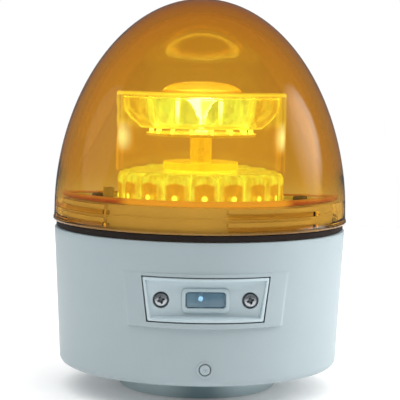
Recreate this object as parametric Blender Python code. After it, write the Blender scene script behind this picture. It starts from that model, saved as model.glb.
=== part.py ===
"""Battery beacon: an egg-shaped amber dome on a tapered round housing with a magnet foot.

Metres, +Z up. The origin is the centre of the magnet foot's bottom face, and the front
panel faces -Y. Heights in the constants below are above the surface the beacon stands on.
"""

import bmesh
import bpy
from math import cos, pi, radians, sin, sqrt
from mathutils import Matrix, Vector

MM = 0.001
GAP = 0.3 * MM  # clearance that neighbouring pieces keep
ROUND = 56  # sides of the large turned pieces
MEDIUM = 40  # sides of the turned pieces of the lamp and the magnet
SMALL = 14  # sides of screws and other little round pieces
TURN = 0.11  # radians: keeps a cutter's corners off the seams of the body that it cuts

# Housing
SEAM = 65.3 * MM
HOUSING_BOTTOM = 10.0 * MM
HOUSING_TOP_R = 59.0 * MM
HOUSING_BOTTOM_R = 56.4 * MM
HOUSING_EDGE_R = 3.0 * MM
WALL = 2.4 * MM
BOSS_X = 41.0 * MM
BOSS_R = 4.0 * MM
BOSS_TOP = SEAM + 10.3 * MM

# Raised pad, pocket and service cover on the front
PAD_TOP = SEAM - 11.7 * MM
PAD_BOTTOM = SEAM - 32.6 * MM
PAD_TOP_HALF = 31.4 * MM
PAD_BOTTOM_HALF = 29.0 * MM
PAD_FRONT = 59.3 * MM
PAD_CURVE_R = 54.5 * MM
COVER_TOP = SEAM - 13.5 * MM
COVER_BOTTOM = SEAM - 30.1 * MM
COVER_TOP_HALF = 24.05 * MM
COVER_BOTTOM_HALF = 21.9 * MM
COVER_GAP = 0.45 * MM
COVER_RIM = 1.1 * MM
COVER_FACE_Y = -53.3 * MM
COVER_BACK_Y = -51.3 * MM
POCKET_FLOOR_Y = -50.0 * MM
POCKET_BACK_Y = -47.8 * MM
POCKET_HALF = 26.0 * MM
PANEL_Z = SEAM - 22.3 * MM
COVER_SCREW_X = 16.9 * MM
WINDOW_SIZE = (15.1 * MM, 6.1 * MM)
WINDOW_CORNER_R = 1.2 * MM
BEZEL_SIZE = (18.1 * MM, 9.4 * MM)
BEZEL_DROP = 0.2 * MM
BEZEL_CORNER_R = 1.8 * MM

# Push button under the panel
BUTTON_Z = SEAM - 48.4 * MM
BUTTON_R = 2.05 * MM
BUTTON_RING_R = 3.35 * MM
BUTTON_TRAVEL = 0.8 * MM
BUTTON_BOARD_TOP = BUTTON_Z + 5.3 * MM

# Collar and deck on top of the housing
COLLAR_R = 54.3 * MM
COLLAR_SPIGOT_R = 56.0 * MM
COLLAR_WALL = 2.2 * MM
COLLAR_BOTTOM = SEAM - 8.0 * MM
COLLAR_STEP = SEAM + 12.8 * MM
COLLAR_RIM_TOP = SEAM + 14.2 * MM
COLLAR_RIM_R = 53.5 * MM
DECK_TOP = SEAM + 12.7 * MM
DECK_BOTTOM = SEAM + 10.6 * MM
RING_SEAL_R = 54.9 * MM
RING_SEAL_SECTION = 1.1 * MM

# Bayonet: four pairs of lugs on the collar and four pairs in the dome
LUG_COUNT = 4
LUG_FIRST = 27.5  # degrees from the front towards +X, middle of the first pair
LUG_SPAN = 39.0
LUG_HEIGHT = 1.6 * MM
COLLAR_LUG_R = 55.9 * MM
COLLAR_LUG_LOWS = (SEAM + 5.6 * MM, SEAM + 10.6 * MM)
DOME_LUG_R = 54.9 * MM
DOME_LUG_LOWS = (SEAM + 3.7 * MM, SEAM + 8.7 * MM)
STOP_SPAN = 1.2  # degrees
STOP_CLEAR = 1.0  # degrees between the dome's stop and the collar's lugs when locked

# Dome and the seal under its rim
DOME_R = 59.2 * MM
DOME_RIM_R = 59.6 * MM
DOME_WALL = 2.4 * MM
DOME_BOTTOM = SEAM + 2.9 * MM
DOME_SHOULDER = SEAM + 8.0 * MM
DOME_HEIGHT = 84.4 * MM  # from the shoulder to the crown
DOME_POWER = 1.9  # 2 would be an ellipse: less makes the crown more pointed
SEAL_INNER_R = 55.5 * MM
SEAL_OUTER_R = 58.3 * MM
SEAL_TOP = SEAM + 2.6 * MM

# Lamp unit on the deck
LOBES = 18
LOBE_ROOT_R = 31.6 * MM
LOBE_TIP_R = 34.4 * MM
LENS_BOTTOM = SEAM + 13.0 * MM
LENS_TOP = SEAM + 24.0 * MM
LENS_BORE_R = 30.2 * MM
LED_BOARD_R = 29.0 * MM
LED_BOARD_THICK = 1.6 * MM
LED_RING_R = 26.5 * MM
LED_COUNT = 10
DISC_R = 15.3 * MM
POST_R = 4.4 * MM
POST_BORE_R = 2.6 * MM
POST_TOP = SEAM + 36.2 * MM
SHADE_R = 34.4 * MM
SHADE_TOP = SEAM + 54.8 * MM
SHADE_WALL = 1.6 * MM
SHADE_CAP_R = 16.0 * MM
SHADE_CAP_RISE = 4.5 * MM
BOWL_BOTTOM = SEAM + 40.4 * MM
BOWL_TOP = SEAM + 52.6 * MM

# Mode switch beside the lamp
KNOB_X = -37.0 * MM
KNOB_Y = -8.0 * MM
KNOB_TRAVEL = 4.0 * MM

# Magnet foot
CUP_TOP = HOUSING_BOTTOM - GAP
CUP_TOP_R = 32.7 * MM
CUP_RIM_R = 31.4 * MM
CUP_RIM_Z = 0.4 * MM
PAD_R = 28.0 * MM
PAD_THICK = 0.7 * MM
MAGNET_BOLT_R = 2.5 * MM

# Battery compartment: two size D cells lying side by side
CELL_R = 17.1 * MM
CELL_LENGTH = 61.5 * MM
CELL_Y = 17.6 * MM
CELL_Z = HOUSING_BOTTOM + 21.9 * MM
CELL_TIP_X = 33.3 * MM
TRAY_FLOOR = HOUSING_BOTTOM + WALL + GAP
TRAY_TOP = CELL_Z + 3.4 * MM
TRAY_HALF_X = 36.3 * MM
TRAY_HALF_Y = 36.7 * MM
TRAY_POCKET_X = 34.4 * MM
TRAY_POCKET_Y = 35.1 * MM
TRAY_FLOOR_THICK = 1.6 * MM
PLATE_X = 33.6 * MM
PLATE_THICK = 0.5 * MM
PLATE_TOP = CELL_Z + 10.4 * MM

# Main circuit board, hung from the deck on two pegs
BOARD_TOP = SEAM - 4.4 * MM
BOARD_THICK = 1.6 * MM
BOARD_SIZE = (56.0 * MM, 40.0 * MM)
PEG_X = 20.0 * MM
PEG_Y = 14.0 * MM


def clear_scene():
    for item in list(bpy.data.objects):
        bpy.data.objects.remove(item, do_unlink=True)


def make_material(name, colour, roughness, metallic=0.0):
    found = bpy.data.materials.new(name)
    found.use_nodes = True
    shader = found.node_tree.nodes["Principled BSDF"]
    shader.inputs["Base Color"].default_value = (*colour, 1.0)
    shader.inputs["Roughness"].default_value = roughness
    shader.inputs["Metallic"].default_value = metallic
    return found


def add_object(name, data, look, place=(0, 0, 0)):
    item = bpy.data.objects.new(name, data)
    bpy.context.scene.collection.objects.link(item)
    item.location = place
    if look is not None:
        data.materials.append(make_material(name, *look))
    return item


def finish_mesh(name, shape, look, place=(0, 0, 0), sharp=30.0):
    """Turn a bmesh into an object, with its faces pointing out and its curves shaded smooth."""
    bmesh.ops.remove_doubles(shape, verts=shape.verts, dist=0.001 * MM)
    bmesh.ops.dissolve_degenerate(shape, edges=shape.edges, dist=0.001 * MM)
    bmesh.ops.recalc_face_normals(shape, faces=shape.faces)
    mesh = bpy.data.meshes.new(name)
    shape.to_mesh(mesh)
    shape.free()
    mesh.shade_smooth()
    mesh.set_sharp_from_angle(angle=radians(sharp))
    return add_object(name, mesh, look, place)


def turned(name, profile, look, sides, place=(0, 0, 0)):
    """A solid turned about Z from a closed outline of (radius, height) points."""
    shape = bmesh.new()
    verts = [shape.verts.new((r, 0, z)) for r, z in profile]
    edges = [
        shape.edges.new((verts[i], verts[(i + 1) % len(verts)]))
        for i in range(len(verts))
        if profile[i][0] > 0 or profile[(i + 1) % len(verts)][0] > 0
    ]
    bmesh.ops.spin(
        shape,
        geom=verts + edges,
        cent=(0, 0, 0),
        axis=(0, 0, 1),
        angle=2 * pi,
        steps=sides,
        use_merge=True,
    )
    return finish_mesh(name, shape, look, place)


def block(name, low, high, look, place=(0, 0, 0), bevel=0.0):
    """A box between two corners, with its edges rounded when bevel is given."""
    shape = bmesh.new()
    bmesh.ops.create_cube(shape, size=1.0)
    size = Vector(high) - Vector(low)
    middle = (Vector(high) + Vector(low)) / 2
    for vert in shape.verts:
        vert.co = Vector(a * b for a, b in zip(vert.co, size)) + middle
    if bevel > 0:
        bmesh.ops.bevel(
            shape, geom=shape.edges[:], offset=bevel, segments=2, affect="EDGES", profile=0.5
        )
    return finish_mesh(name, shape, look, place, sharp=50.0)


def loft(name, rings, look, place=(0, 0, 0), closed_loop=False):
    """Skin a list of rings with equal point counts; the ends are capped or joined up."""
    shape = bmesh.new()
    rows = [[shape.verts.new(point) for point in ring] for ring in rings]
    pairs = list(zip(rows, rows[1:]))
    if closed_loop:
        pairs.append((rows[-1], rows[0]))
    for row, after in pairs:
        count = len(row)
        for i in range(count):
            k = (i + 1) % count
            shape.faces.new((row[i], row[k], after[k], after[i]))
    if not closed_loop:
        shape.faces.new(rows[0])
        shape.faces.new(rows[-1])
    return finish_mesh(name, shape, look, place)


def rounded_plate(name, size, corner_r, front, back, look, centre=(0, 0)):
    """An upright plate with rounded corners, from y = front to y = back, centred on x and z."""
    wide, high = size[0] / 2 - corner_r, size[1] / 2 - corner_r
    outline = []
    for quarter, (across, up) in enumerate(((1, 1), (-1, 1), (-1, -1), (1, -1))):
        middle = (centre[0] + across * wide, centre[1] + up * high)
        outline += arc_points(middle, corner_r, 90 * quarter, 90 * quarter + 90, 4)
    return loft(name, [[(x, y, z) for x, z in outline] for y in (front, back)], look)


def make_tool(item):
    """Mark an object as a cutter or a piece to be joined on, which isn't a part of its own."""
    item.hide_render = True
    item.display_type = "WIRE"
    return item


def combine(target, tool, operation):
    make_tool(tool)
    step = target.modifiers.new(tool.name, "BOOLEAN")
    step.operation = operation
    step.solver = "EXACT"
    step.object = tool


def cut(target, tool):
    combine(target, tool, "DIFFERENCE")


def join(target, tool):
    combine(target, tool, "UNION")


def cylinder(name, radius, low, high, sides=SMALL, look=None, place=(0, 0, 0), tilt=0.0):
    """A cylinder along Z, or along Y when it is tilted by a quarter turn about X."""
    profile = [(0, low), (radius, low), (radius, high), (0, high)]
    made = turned(name, profile, look, sides, place)
    made.rotation_euler = (tilt, TURN, 0) if tilt else (0, 0, TURN)
    return made


def tube_profile(inner, outer, low, high):
    return [(inner, low), (outer, low), (outer, high), (inner, high)]


def arc_points(centre, radius, start, end, steps):
    """Points on an arc in the (radius, height) plane, angles in degrees."""
    angles = [radians(start + (end - start) * i / steps) for i in range(steps + 1)]
    return [(centre[0] + radius * cos(a), centre[1] + radius * sin(a)) for a in angles]


def front_outline(top, bottom, top_half, bottom_half, y):
    """A trapezium that faces the front, as four points going round."""
    corners = ((-bottom_half, bottom), (bottom_half, bottom), (top_half, top), (-top_half, top))
    return [(x, y, z) for x, z in corners]


def sector(angle, span, inner, outer, low, high, steps):
    """Corner rings of a curved block; angle is the middle, in degrees from the front to +X."""
    rings = []
    for i in range(steps + 1):
        a = radians(angle - span / 2 + span * i / steps)
        across = [(inner, low), (outer, low), (outer, high), (inner, high)]
        rings.append([(r * sin(a), -r * cos(a), z) for r, z in across])
    return rings


def sectors(name, blocks, steps):
    """Several separate curved blocks in one mesh, used as one tool."""
    shape = bmesh.new()
    for settings in blocks:
        rows = [[shape.verts.new(p) for p in ring] for ring in sector(*settings, steps)]
        for row, after in zip(rows, rows[1:]):
            for i in range(4):
                k = (i + 1) % 4
                shape.faces.new((row[i], row[k], after[k], after[i]))
        shape.faces.new(rows[0])
        shape.faces.new(rows[-1])
    return finish_mesh(name, shape, None)


def smooth_route(points, steps):
    """Points on a smooth curve through the given ones."""
    knots = [Vector(p) for p in points]
    knots = [2 * knots[0] - knots[1]] + knots + [2 * knots[-1] - knots[-2]]
    route = []
    for before, start, end, after in zip(knots, knots[1:], knots[2:], knots[3:]):
        for i in range(steps):
            t = i / steps
            along = end - before
            ahead = after - start
            base = start * (2 * t**3 - 3 * t**2 + 1) + end * (3 * t**2 - 2 * t**3)
            bend = along * (t**3 - 2 * t**2 + t) + ahead * (t**3 - t**2)
            route.append(base + bend / 2)
    return route + [knots[-2]]


def wire(name, route, radius, look, sides_level=2, place=(0, 0, 0)):
    """A round wire along a route, with closed ends."""
    curve = bpy.data.curves.new(name, "CURVE")
    curve.dimensions = "3D"
    curve.bevel_depth = radius
    curve.bevel_resolution = sides_level
    curve.use_fill_caps = True
    line = curve.splines.new("POLY")
    line.points.add(len(route) - 1)
    for point, spot in zip(line.points, route):
        point.co = (*spot, 1.0)
    return add_object(name, curve, look, place)


def lead(name, points, look):
    """A lead through points in millimetres, whose heights are from the seam."""
    route = [Vector(p) * MM + Vector((0, 0, SEAM)) for p in points]
    return wire(name, smooth_route(route, 3), 0.7 * MM, look)


def screw(name, head_r, head_high, shank_r, length, look, place, turn=(0, 0, 0)):
    """A cross-recess pan-head screw: the head's underside is at its origin, its tip at -Z."""
    crown = [(head_r * 0.98, head_high * 0.35), (head_r * 0.82, head_high * 0.8)]
    profile = [(0, -length), (shank_r * 0.5, -length), (shank_r, -length + shank_r)]
    profile += [(shank_r, 0), (head_r, 0)] + crown + [(head_r * 0.4, head_high), (0, head_high)]
    made = turned(name, profile, look, SMALL, place)
    made.rotation_euler = turn
    cross = []
    arm, half = head_r * 0.58, head_r * 0.14
    for quarter in range(4):
        spin = Matrix.Rotation(quarter * pi / 2, 3, "Z")
        cross += [spin @ Vector(p) for p in ((half, -half, 0), (arm, -half, 0), (arm, half, 0))]
    low = head_high * 0.45
    rings = [[(p.x, p.y, z) for p in cross] for z in (low, head_high * 1.5)]
    recess = loft(name + "_recess", rings, None)
    recess.parent = made
    cut(made, recess)
    return made


def taper_r(z):
    """Outer radius of the housing at a height."""
    share = (SEAM - z) / (SEAM - HOUSING_BOTTOM)
    return HOUSING_TOP_R + (HOUSING_BOTTOM_R - HOUSING_TOP_R) * share


def pad_solid(name, front, top, bottom, top_half, bottom_half, draft, back):
    """A curved pad with a trapezium outline, tall sides and drafted ends."""
    centre_y = PAD_CURVE_R - PAD_FRONT
    far = 62.0 * MM
    near = 50.0 * MM
    face = front_outline(
        top, bottom, top_half - draft * (far - near), bottom_half - draft * (far - near), -far
    )
    rear = front_outline(
        top, bottom, top_half + draft * (near - back), bottom_half + draft * (near - back), -back
    )
    body = loft(name, [face, rear], None)
    drum_r = PAD_CURVE_R - (PAD_FRONT - front)
    drum = cylinder(name + "_drum", drum_r, 0, SEAM + 9 * MM, 120, place=(0, centre_y, 0))
    combine(body, drum, "INTERSECT")
    return body


GREY = ((0.42, 0.47, 0.49), 0.42)
AMBER = ((0.72, 0.30, 0.03), 0.12)
CLEAR_YELLOW = ((0.82, 0.68, 0.10), 0.15)
CLEAR = ((0.85, 0.80, 0.55), 0.1)
BLACK = ((0.03, 0.028, 0.026), 0.7)
STEEL = ((0.55, 0.56, 0.57), 0.28, 1.0)
DARK_STEEL = ((0.18, 0.17, 0.15), 0.4, 1.0)
GREEN = ((0.05, 0.18, 0.09), 0.5)
WHITE = ((0.8, 0.8, 0.76), 0.4)


def build_housing():
    bottom_r = taper_r(HOUSING_BOTTOM + HOUSING_EDGE_R)
    edge_centre = (bottom_r - HOUSING_EDGE_R, HOUSING_BOTTOM + HOUSING_EDGE_R)
    floor_top = HOUSING_BOTTOM + WALL
    chamfer = 0.4 * MM
    profile = [(3.0 * MM, HOUSING_BOTTOM)]
    profile += arc_points(edge_centre, HOUSING_EDGE_R, -90, 0, 5)
    profile += [(taper_r(SEAM - chamfer), SEAM - chamfer), (HOUSING_TOP_R - chamfer, SEAM)]
    profile += [(HOUSING_TOP_R - WALL, SEAM), (taper_r(floor_top) - WALL, floor_top)]
    profile += [(3.0 * MM, floor_top)]
    housing = turned("housing", profile, GREY, ROUND)
    hole_r, hole_bottom = 1.8 * MM, SEAM - 6 * MM
    profile = [(0, floor_top - 1 * MM), (BOSS_R, floor_top - 1 * MM), (BOSS_R, BOSS_TOP)]
    profile += [(hole_r, BOSS_TOP), (hole_r, hole_bottom), (0, hole_bottom)]
    for side, x in (("left", -BOSS_X), ("right", BOSS_X)):
        boss = turned("boss_" + side, profile, None, SMALL, (x, 0, 0))
        boss.rotation_euler = (0, 0, TURN)
        join(housing, boss)
    add_front_pad(housing)
    add_button_opening(housing)
    return housing


def add_front_pad(housing):
    """The raised pad, the block behind it and the stepped pocket for the service cover."""
    pad = pad_solid(
        "pad", PAD_FRONT, PAD_TOP, PAD_BOTTOM, PAD_TOP_HALF, PAD_BOTTOM_HALF, 1.0, 45 * MM
    )
    trim_low, trim_high = PAD_BOTTOM - 1.5 * MM, PAD_TOP + 1.5 * MM
    inner = cylinder("pad_inside", 57.0 * MM, trim_low, trim_high, ROUND)
    cut(pad, inner)
    join(housing, pad)
    low = (-POCKET_HALF, -60 * MM, PAD_BOTTOM - 0.6 * MM)
    high = (POCKET_HALF, POCKET_BACK_Y, PAD_TOP + 0.6 * MM)
    backing = block("pocket_block", low, high, None)
    inside = cylinder("pocket_block_front", 57.0 * MM, trim_low, trim_high, ROUND)
    combine(backing, inside, "INTERSECT")
    join(housing, backing)
    outline = (
        COVER_TOP + COVER_GAP,
        COVER_BOTTOM - COVER_GAP,
        COVER_TOP_HALF + COVER_GAP,
        COVER_BOTTOM_HALF + COVER_GAP,
    )
    rings = [front_outline(*outline, y) for y in (-65 * MM, POCKET_FLOOR_Y)]
    cut(housing, loft("pocket", rings, None))
    low = (-9.5 * MM, -52 * MM, PANEL_Z - 5.0 * MM)
    high = (9.5 * MM, -45 * MM, PANEL_Z + 5.0 * MM)
    cut(housing, block("pocket_window", low, high, None))
    for side, x in (("left", -COVER_SCREW_X), ("right", COVER_SCREW_X)):
        name = "pocket_screw_hole_" + side
        place = (x, -49 * MM, PANEL_Z)
        cut(housing, cylinder(name, 1.5 * MM, -5 * MM, 5 * MM, place=place, tilt=pi / 2))


def add_button_opening(housing):
    """The raised ring and hole for the push button, and the guides for its circuit board."""
    surface = taper_r(BUTTON_Z)
    place = (0, -surface, BUTTON_Z)
    ring = cylinder("button_ring", BUTTON_RING_R, -1.2 * MM, 0.35 * MM, 20, None, place, pi / 2)
    join(housing, ring)
    reach = 6 * MM
    cut(housing, cylinder("button_hole", BUTTON_R + GAP, -reach, reach, 20, None, place, pi / 2))
    for side, x in (("left", -6.05 * MM), ("right", 6.05 * MM)):
        half = 0.75 * MM
        low = (x - half, -46.6 * MM, HOUSING_BOTTOM + 1 * MM)
        high = (x + half, -42.6 * MM, BUTTON_BOARD_TOP)
        join(housing, block("board_guide_" + side, low, high, None))


def build_service_cover():
    cover = pad_solid(
        "service_cover_body",
        PAD_FRONT - 0.1 * MM,
        COVER_TOP,
        COVER_BOTTOM,
        COVER_TOP_HALF,
        COVER_BOTTOM_HALF,
        0.0,
        -COVER_BACK_Y,
    )
    cover.name = "service_cover"
    cover.data.materials.append(make_material("service_cover", *GREY))
    face = (
        COVER_TOP - COVER_RIM,
        COVER_BOTTOM + COVER_RIM,
        COVER_TOP_HALF - COVER_RIM,
        COVER_BOTTOM_HALF - COVER_RIM,
    )
    rings = [front_outline(*face, y) for y in (-65 * MM, COVER_FACE_Y)]
    cut(cover, loft("cover_recess", rings, None))
    reach = (COVER_FACE_Y - 0.7 * MM, COVER_FACE_Y + 1 * MM)
    middle = (0, PANEL_Z - BEZEL_DROP)
    bezel = rounded_plate("cover_bezel", BEZEL_SIZE, BEZEL_CORNER_R, *reach, None, middle)
    join(cover, bezel)
    reach = (-60 * MM, -45 * MM)
    middle = (0, PANEL_Z)
    opening = rounded_plate("cover_window", WINDOW_SIZE, WINDOW_CORNER_R, *reach, None, middle)
    cut(cover, opening)
    for side, x in (("left", -COVER_SCREW_X), ("right", COVER_SCREW_X)):
        for part, radius, reach in (("sink", 3.1, 1.0), ("hole", 1.5, 6.0)):
            name = f"cover_{part}_{side}"
            place = (x, COVER_FACE_Y, PANEL_Z)
            cut(cover, cylinder(name, radius * MM, -reach * MM, 5 * MM, 20, None, place, pi / 2))


def build_panel():
    """What sits in and behind the service cover."""
    build_service_cover()
    edge = 0.8 * MM
    outline = (
        COVER_TOP - edge,
        COVER_BOTTOM + edge,
        COVER_TOP_HALF - edge,
        COVER_BOTTOM_HALF - edge,
    )
    front = COVER_BACK_Y + GAP
    rings = [front_outline(*outline, y) for y in (front, POCKET_FLOOR_Y - GAP)]
    gasket = loft("cover_gasket", rings, BLACK)
    band = 1.6 * MM
    inner = (outline[0] - band, outline[1] + band, outline[2] - band, outline[3] - band)
    rings = [front_outline(*inner, y) for y in (front - 1 * MM, POCKET_FLOOR_Y + 1 * MM)]
    cut(gasket, loft("cover_gasket_hole", rings, None))
    glass = ((0.30, 0.40, 0.45), 0.15)
    size = [side - 2 * GAP for side in WINDOW_SIZE]
    reach = (COVER_FACE_Y - 0.3 * MM, front + 0.5 * MM)
    corner_r = WINDOW_CORNER_R - GAP
    window = rounded_plate("sensor_window", size, corner_r, *reach, glass, (0, PANEL_Z))
    low_corner = (-8.75 * MM, front, PANEL_Z - 4.25 * MM)
    high_corner = (8.75 * MM, front + 1 * MM, PANEL_Z + 4.25 * MM)
    join(window, block("window_flange", low_corner, high_corner, None))
    for side, x in (("left", -COVER_SCREW_X), ("right", COVER_SCREW_X)):
        place = (x, COVER_FACE_Y + 1.0 * MM - GAP, PANEL_Z)
        screw(
            "cover_screw_" + side, 2.45 * MM, 1.7 * MM, 1.15 * MM, 5.4 * MM, STEEL, place,
            (pi / 2, 0, 0),
        )
    board_front = POCKET_BACK_Y + GAP
    low_corner = (-9.0 * MM, board_front, PANEL_Z - 4.5 * MM)
    high_corner = (9.0 * MM, board_front + 1.2 * MM, PANEL_Z + 4.5 * MM)
    block("sensor_board", low_corner, high_corner, GREEN)
    sensor = turned(
        "light_sensor",
        [(0, 0), (1.7 * MM, 0), (1.7 * MM, 0.5 * MM), (1.35 * MM, 0.5 * MM)]
        + [(1.35 * MM, 1.3 * MM), (0.9 * MM, 1.75 * MM), (0, 1.9 * MM)],
        WHITE,
        SMALL,
        place=(-1.6 * MM, POCKET_BACK_Y, PANEL_Z),
    )
    sensor.rotation_euler = (pi / 2, 0, 0)


def build_button():
    """The push button with its switch and board; the button slides along Y."""
    inner_wall = taper_r(BUTTON_Z) - WALL
    front = taper_r(BUTTON_Z) + 0.3 * MM
    flange = inner_wall - 0.35 * MM
    rear = flange - 2.2 * MM
    profile = [(0, -rear), (1.2 * MM, -rear), (1.2 * MM, -flange + 0.8 * MM)]
    profile += [(2.9 * MM, -flange + 0.8 * MM), (2.9 * MM, -flange), (BUTTON_R, -flange)]
    profile += [(BUTTON_R, -front + 0.25 * MM), (BUTTON_R - 0.25 * MM, -front)]
    profile += [(0.7 * MM, -front), (0.35 * MM, -front + 0.3 * MM), (0, -front + 0.35 * MM)]
    button = turned("power_button", [(r, -y) for r, y in profile], GREY, 20)
    button.location = (0, 0, BUTTON_Z)
    button.rotation_euler = (pi / 2, 0, 0)
    stem_front = rear - BUTTON_TRAVEL - GAP
    switch = block(
        "button_switch",
        (-3 * MM, -stem_front + 1.2 * MM, BUTTON_Z - 3 * MM),
        (3 * MM, -stem_front + 4.7 * MM, BUTTON_Z + 3 * MM),
        BLACK,
    )
    place = (0, 0, BUTTON_Z)
    low, high = stem_front - 2.0 * MM, stem_front
    join(switch, cylinder("switch_stem", 1.5 * MM, low, high, place=place, tilt=pi / 2))
    board_front = -stem_front + 4.7 * MM + GAP
    low = (-5.0 * MM, board_front, HOUSING_BOTTOM + WALL + GAP)
    high = (5.0 * MM, board_front + 1.2 * MM, BUTTON_BOARD_TOP)
    block("button_board", low, high, GREEN)


def build_collar():
    """The deck, the collar round it with its lugs, and the pegs that hold the main board."""
    inner = COLLAR_R - COLLAR_WALL
    spigot_top = SEAM - 0.6 * MM
    profile = [
        (inner, COLLAR_BOTTOM),
        (COLLAR_SPIGOT_R - 0.6 * MM, COLLAR_BOTTOM),
        (COLLAR_SPIGOT_R, COLLAR_BOTTOM + 0.6 * MM),
        (COLLAR_SPIGOT_R, spigot_top),
        (COLLAR_R, spigot_top),
        (COLLAR_R, COLLAR_STEP),
        (COLLAR_RIM_R, COLLAR_STEP),
        (COLLAR_RIM_R, COLLAR_RIM_TOP),
        (inner - 0.4 * MM, COLLAR_RIM_TOP),
        (inner - 0.4 * MM, DECK_TOP),
        (3.2 * MM, DECK_TOP),
        (3.2 * MM, DECK_BOTTOM),
        (inner, DECK_BOTTOM),
    ]
    deck = turned("collar_deck", profile, ((0.45, 0.33, 0.12), 0.45), ROUND)
    root = COLLAR_R - 0.8 * MM
    middles = [LUG_FIRST + 360 / LUG_COUNT * i for i in range(LUG_COUNT)]
    lugs = [
        (middle, LUG_SPAN, root, COLLAR_LUG_R, low, low + LUG_HEIGHT)
        for middle in middles
        for low in COLLAR_LUG_LOWS
    ]
    join(deck, sectors("collar_lugs", lugs, 5))
    for side, x in (("left", -BOSS_X), ("right", BOSS_X)):
        place = (x, 0, DECK_BOTTOM)
        cut(deck, cylinder("deck_hole_" + side, 1.8 * MM, -3 * MM, 5 * MM, place=place))
    low = (KNOB_X - 1.4 * MM, KNOB_Y - KNOB_TRAVEL - 1.7 * MM, DECK_BOTTOM - 1 * MM)
    high = (KNOB_X + 1.4 * MM, KNOB_Y + 1.7 * MM, DECK_TOP + 1 * MM)
    cut(deck, block("deck_slot", low, high, None))
    for side, x, y in (("left", -PEG_X, PEG_Y), ("right", PEG_X, -PEG_Y)):
        foot = BOARD_TOP + GAP
        tip = BOARD_TOP - BOARD_THICK - 1.2 * MM
        profile = [(0, tip), (1.1 * MM, tip), (1.1 * MM, foot), (2.6 * MM, foot)]
        profile += [(2.6 * MM, DECK_BOTTOM + 1 * MM), (0, DECK_BOTTOM + 1 * MM)]
        join(deck, turned("deck_peg_" + side, profile, None, SMALL, (x, y, 0)))
    for side, x in (("left", -BOSS_X), ("right", BOSS_X)):
        place = (x, 0, DECK_TOP + GAP)
        screw("deck_screw_" + side, 3.05 * MM, 2.5 * MM, 1.5 * MM, 13 * MM, DARK_STEEL, place)
    ring_z = COLLAR_STEP + GAP + RING_SEAL_SECTION
    profile = arc_points((RING_SEAL_R, ring_z), RING_SEAL_SECTION, 0, 360, 6)[:-1]
    turned("collar_ring_seal", profile, ((0.45, 0.06, 0.02), 0.5), ROUND)


def build_mode_switch():
    """The sliding knob beside the lamp and the switch under the deck that it works."""
    top = DECK_BOTTOM - GAP
    middle = KNOB_Y - KNOB_TRAVEL / 2
    body = block(
        "mode_switch",
        (KNOB_X - 2.5 * MM, middle - 5.7 * MM, top - 5.5 * MM),
        (KNOB_X + 2.5 * MM, middle + 5.6 * MM, top),
        BLACK,
    )
    low = (KNOB_X - 1.4 * MM, middle - KNOB_TRAVEL / 2 - 1.7 * MM, top - 3 * MM)
    high = (KNOB_X + 1.4 * MM, middle + KNOB_TRAVEL / 2 + 1.7 * MM, top + 1 * MM)
    cut(body, block("mode_switch_slot", low, high, None))
    knob_low = DECK_TOP + GAP
    knob = block(
        "mode_knob",
        (-2.3 * MM, -2.5 * MM, knob_low),
        (2.3 * MM, 2.5 * MM, knob_low + 5.6 * MM),
        WHITE,
        place=(KNOB_X, KNOB_Y, 0),
        bevel=0.5 * MM,
    )
    stem = block(
        "mode_knob_stem",
        (-1.0 * MM, -1.2 * MM, top - 2.0 * MM),
        (1.0 * MM, 1.2 * MM, knob_low + 2 * MM),
        None,
        place=(KNOB_X, KNOB_Y, 0),
    )
    join(knob, stem)


def lobe_ring(scale, z):
    """One ring of the fluted lens: round lobes that meet in sharp valleys."""
    per_lobe = 4
    ring = []
    for i in range(LOBES * per_lobe):
        share = 2 * (i % per_lobe) / per_lobe - 1
        swell = sqrt(1 - share * share)
        r = (LOBE_ROOT_R + (LOBE_TIP_R - LOBE_ROOT_R) * swell) * scale
        a = 2 * pi * (i - per_lobe / 2) / (LOBES * per_lobe)
        ring.append((r * sin(a), -r * cos(a), z))
    return ring


def plain_ring(r, z):
    count = LOBES * 4
    turns = [2 * pi * (i - 2) / count for i in range(count)]
    return [(r * sin(a), -r * cos(a), z) for a in turns]


def build_lower_lamp():
    """The fluted ring lens over its ring of LEDs."""
    hole = POST_R + GAP
    rings = [
        plain_ring(LENS_BORE_R, LENS_BOTTOM),
        lobe_ring(1.0, LENS_BOTTOM),
        lobe_ring(1.0, LENS_TOP - 3.0 * MM),
        lobe_ring(0.975, LENS_TOP - 1.0 * MM),
        lobe_ring(0.92, LENS_TOP),
        plain_ring(hole, LENS_TOP),
        plain_ring(hole, LENS_TOP - 2.0 * MM),
        plain_ring(LENS_BORE_R, LENS_TOP - 2.0 * MM),
    ]
    loft("lower_lens", rings, CLEAR_YELLOW, closed_loop=True)
    board_top = LENS_BOTTOM + LED_BOARD_THICK
    profile = tube_profile(3.2 * MM, LED_BOARD_R, LENS_BOTTOM, board_top)
    turned("lower_led_board", profile, WHITE, MEDIUM)
    for i in range(LED_COUNT):
        led = block(
            f"lower_led_{i + 1:02d}",
            (-1.75 * MM, -1.4 * MM, 0),
            (1.75 * MM, 1.4 * MM, 2.0 * MM),
            CLEAR_YELLOW,
        )
        a = 2 * pi * (i + 0.5) / LED_COUNT
        led.location = (LED_RING_R * sin(a), -LED_RING_R * cos(a), board_top + GAP)
        led.rotation_euler = (0, 0, a)


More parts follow.
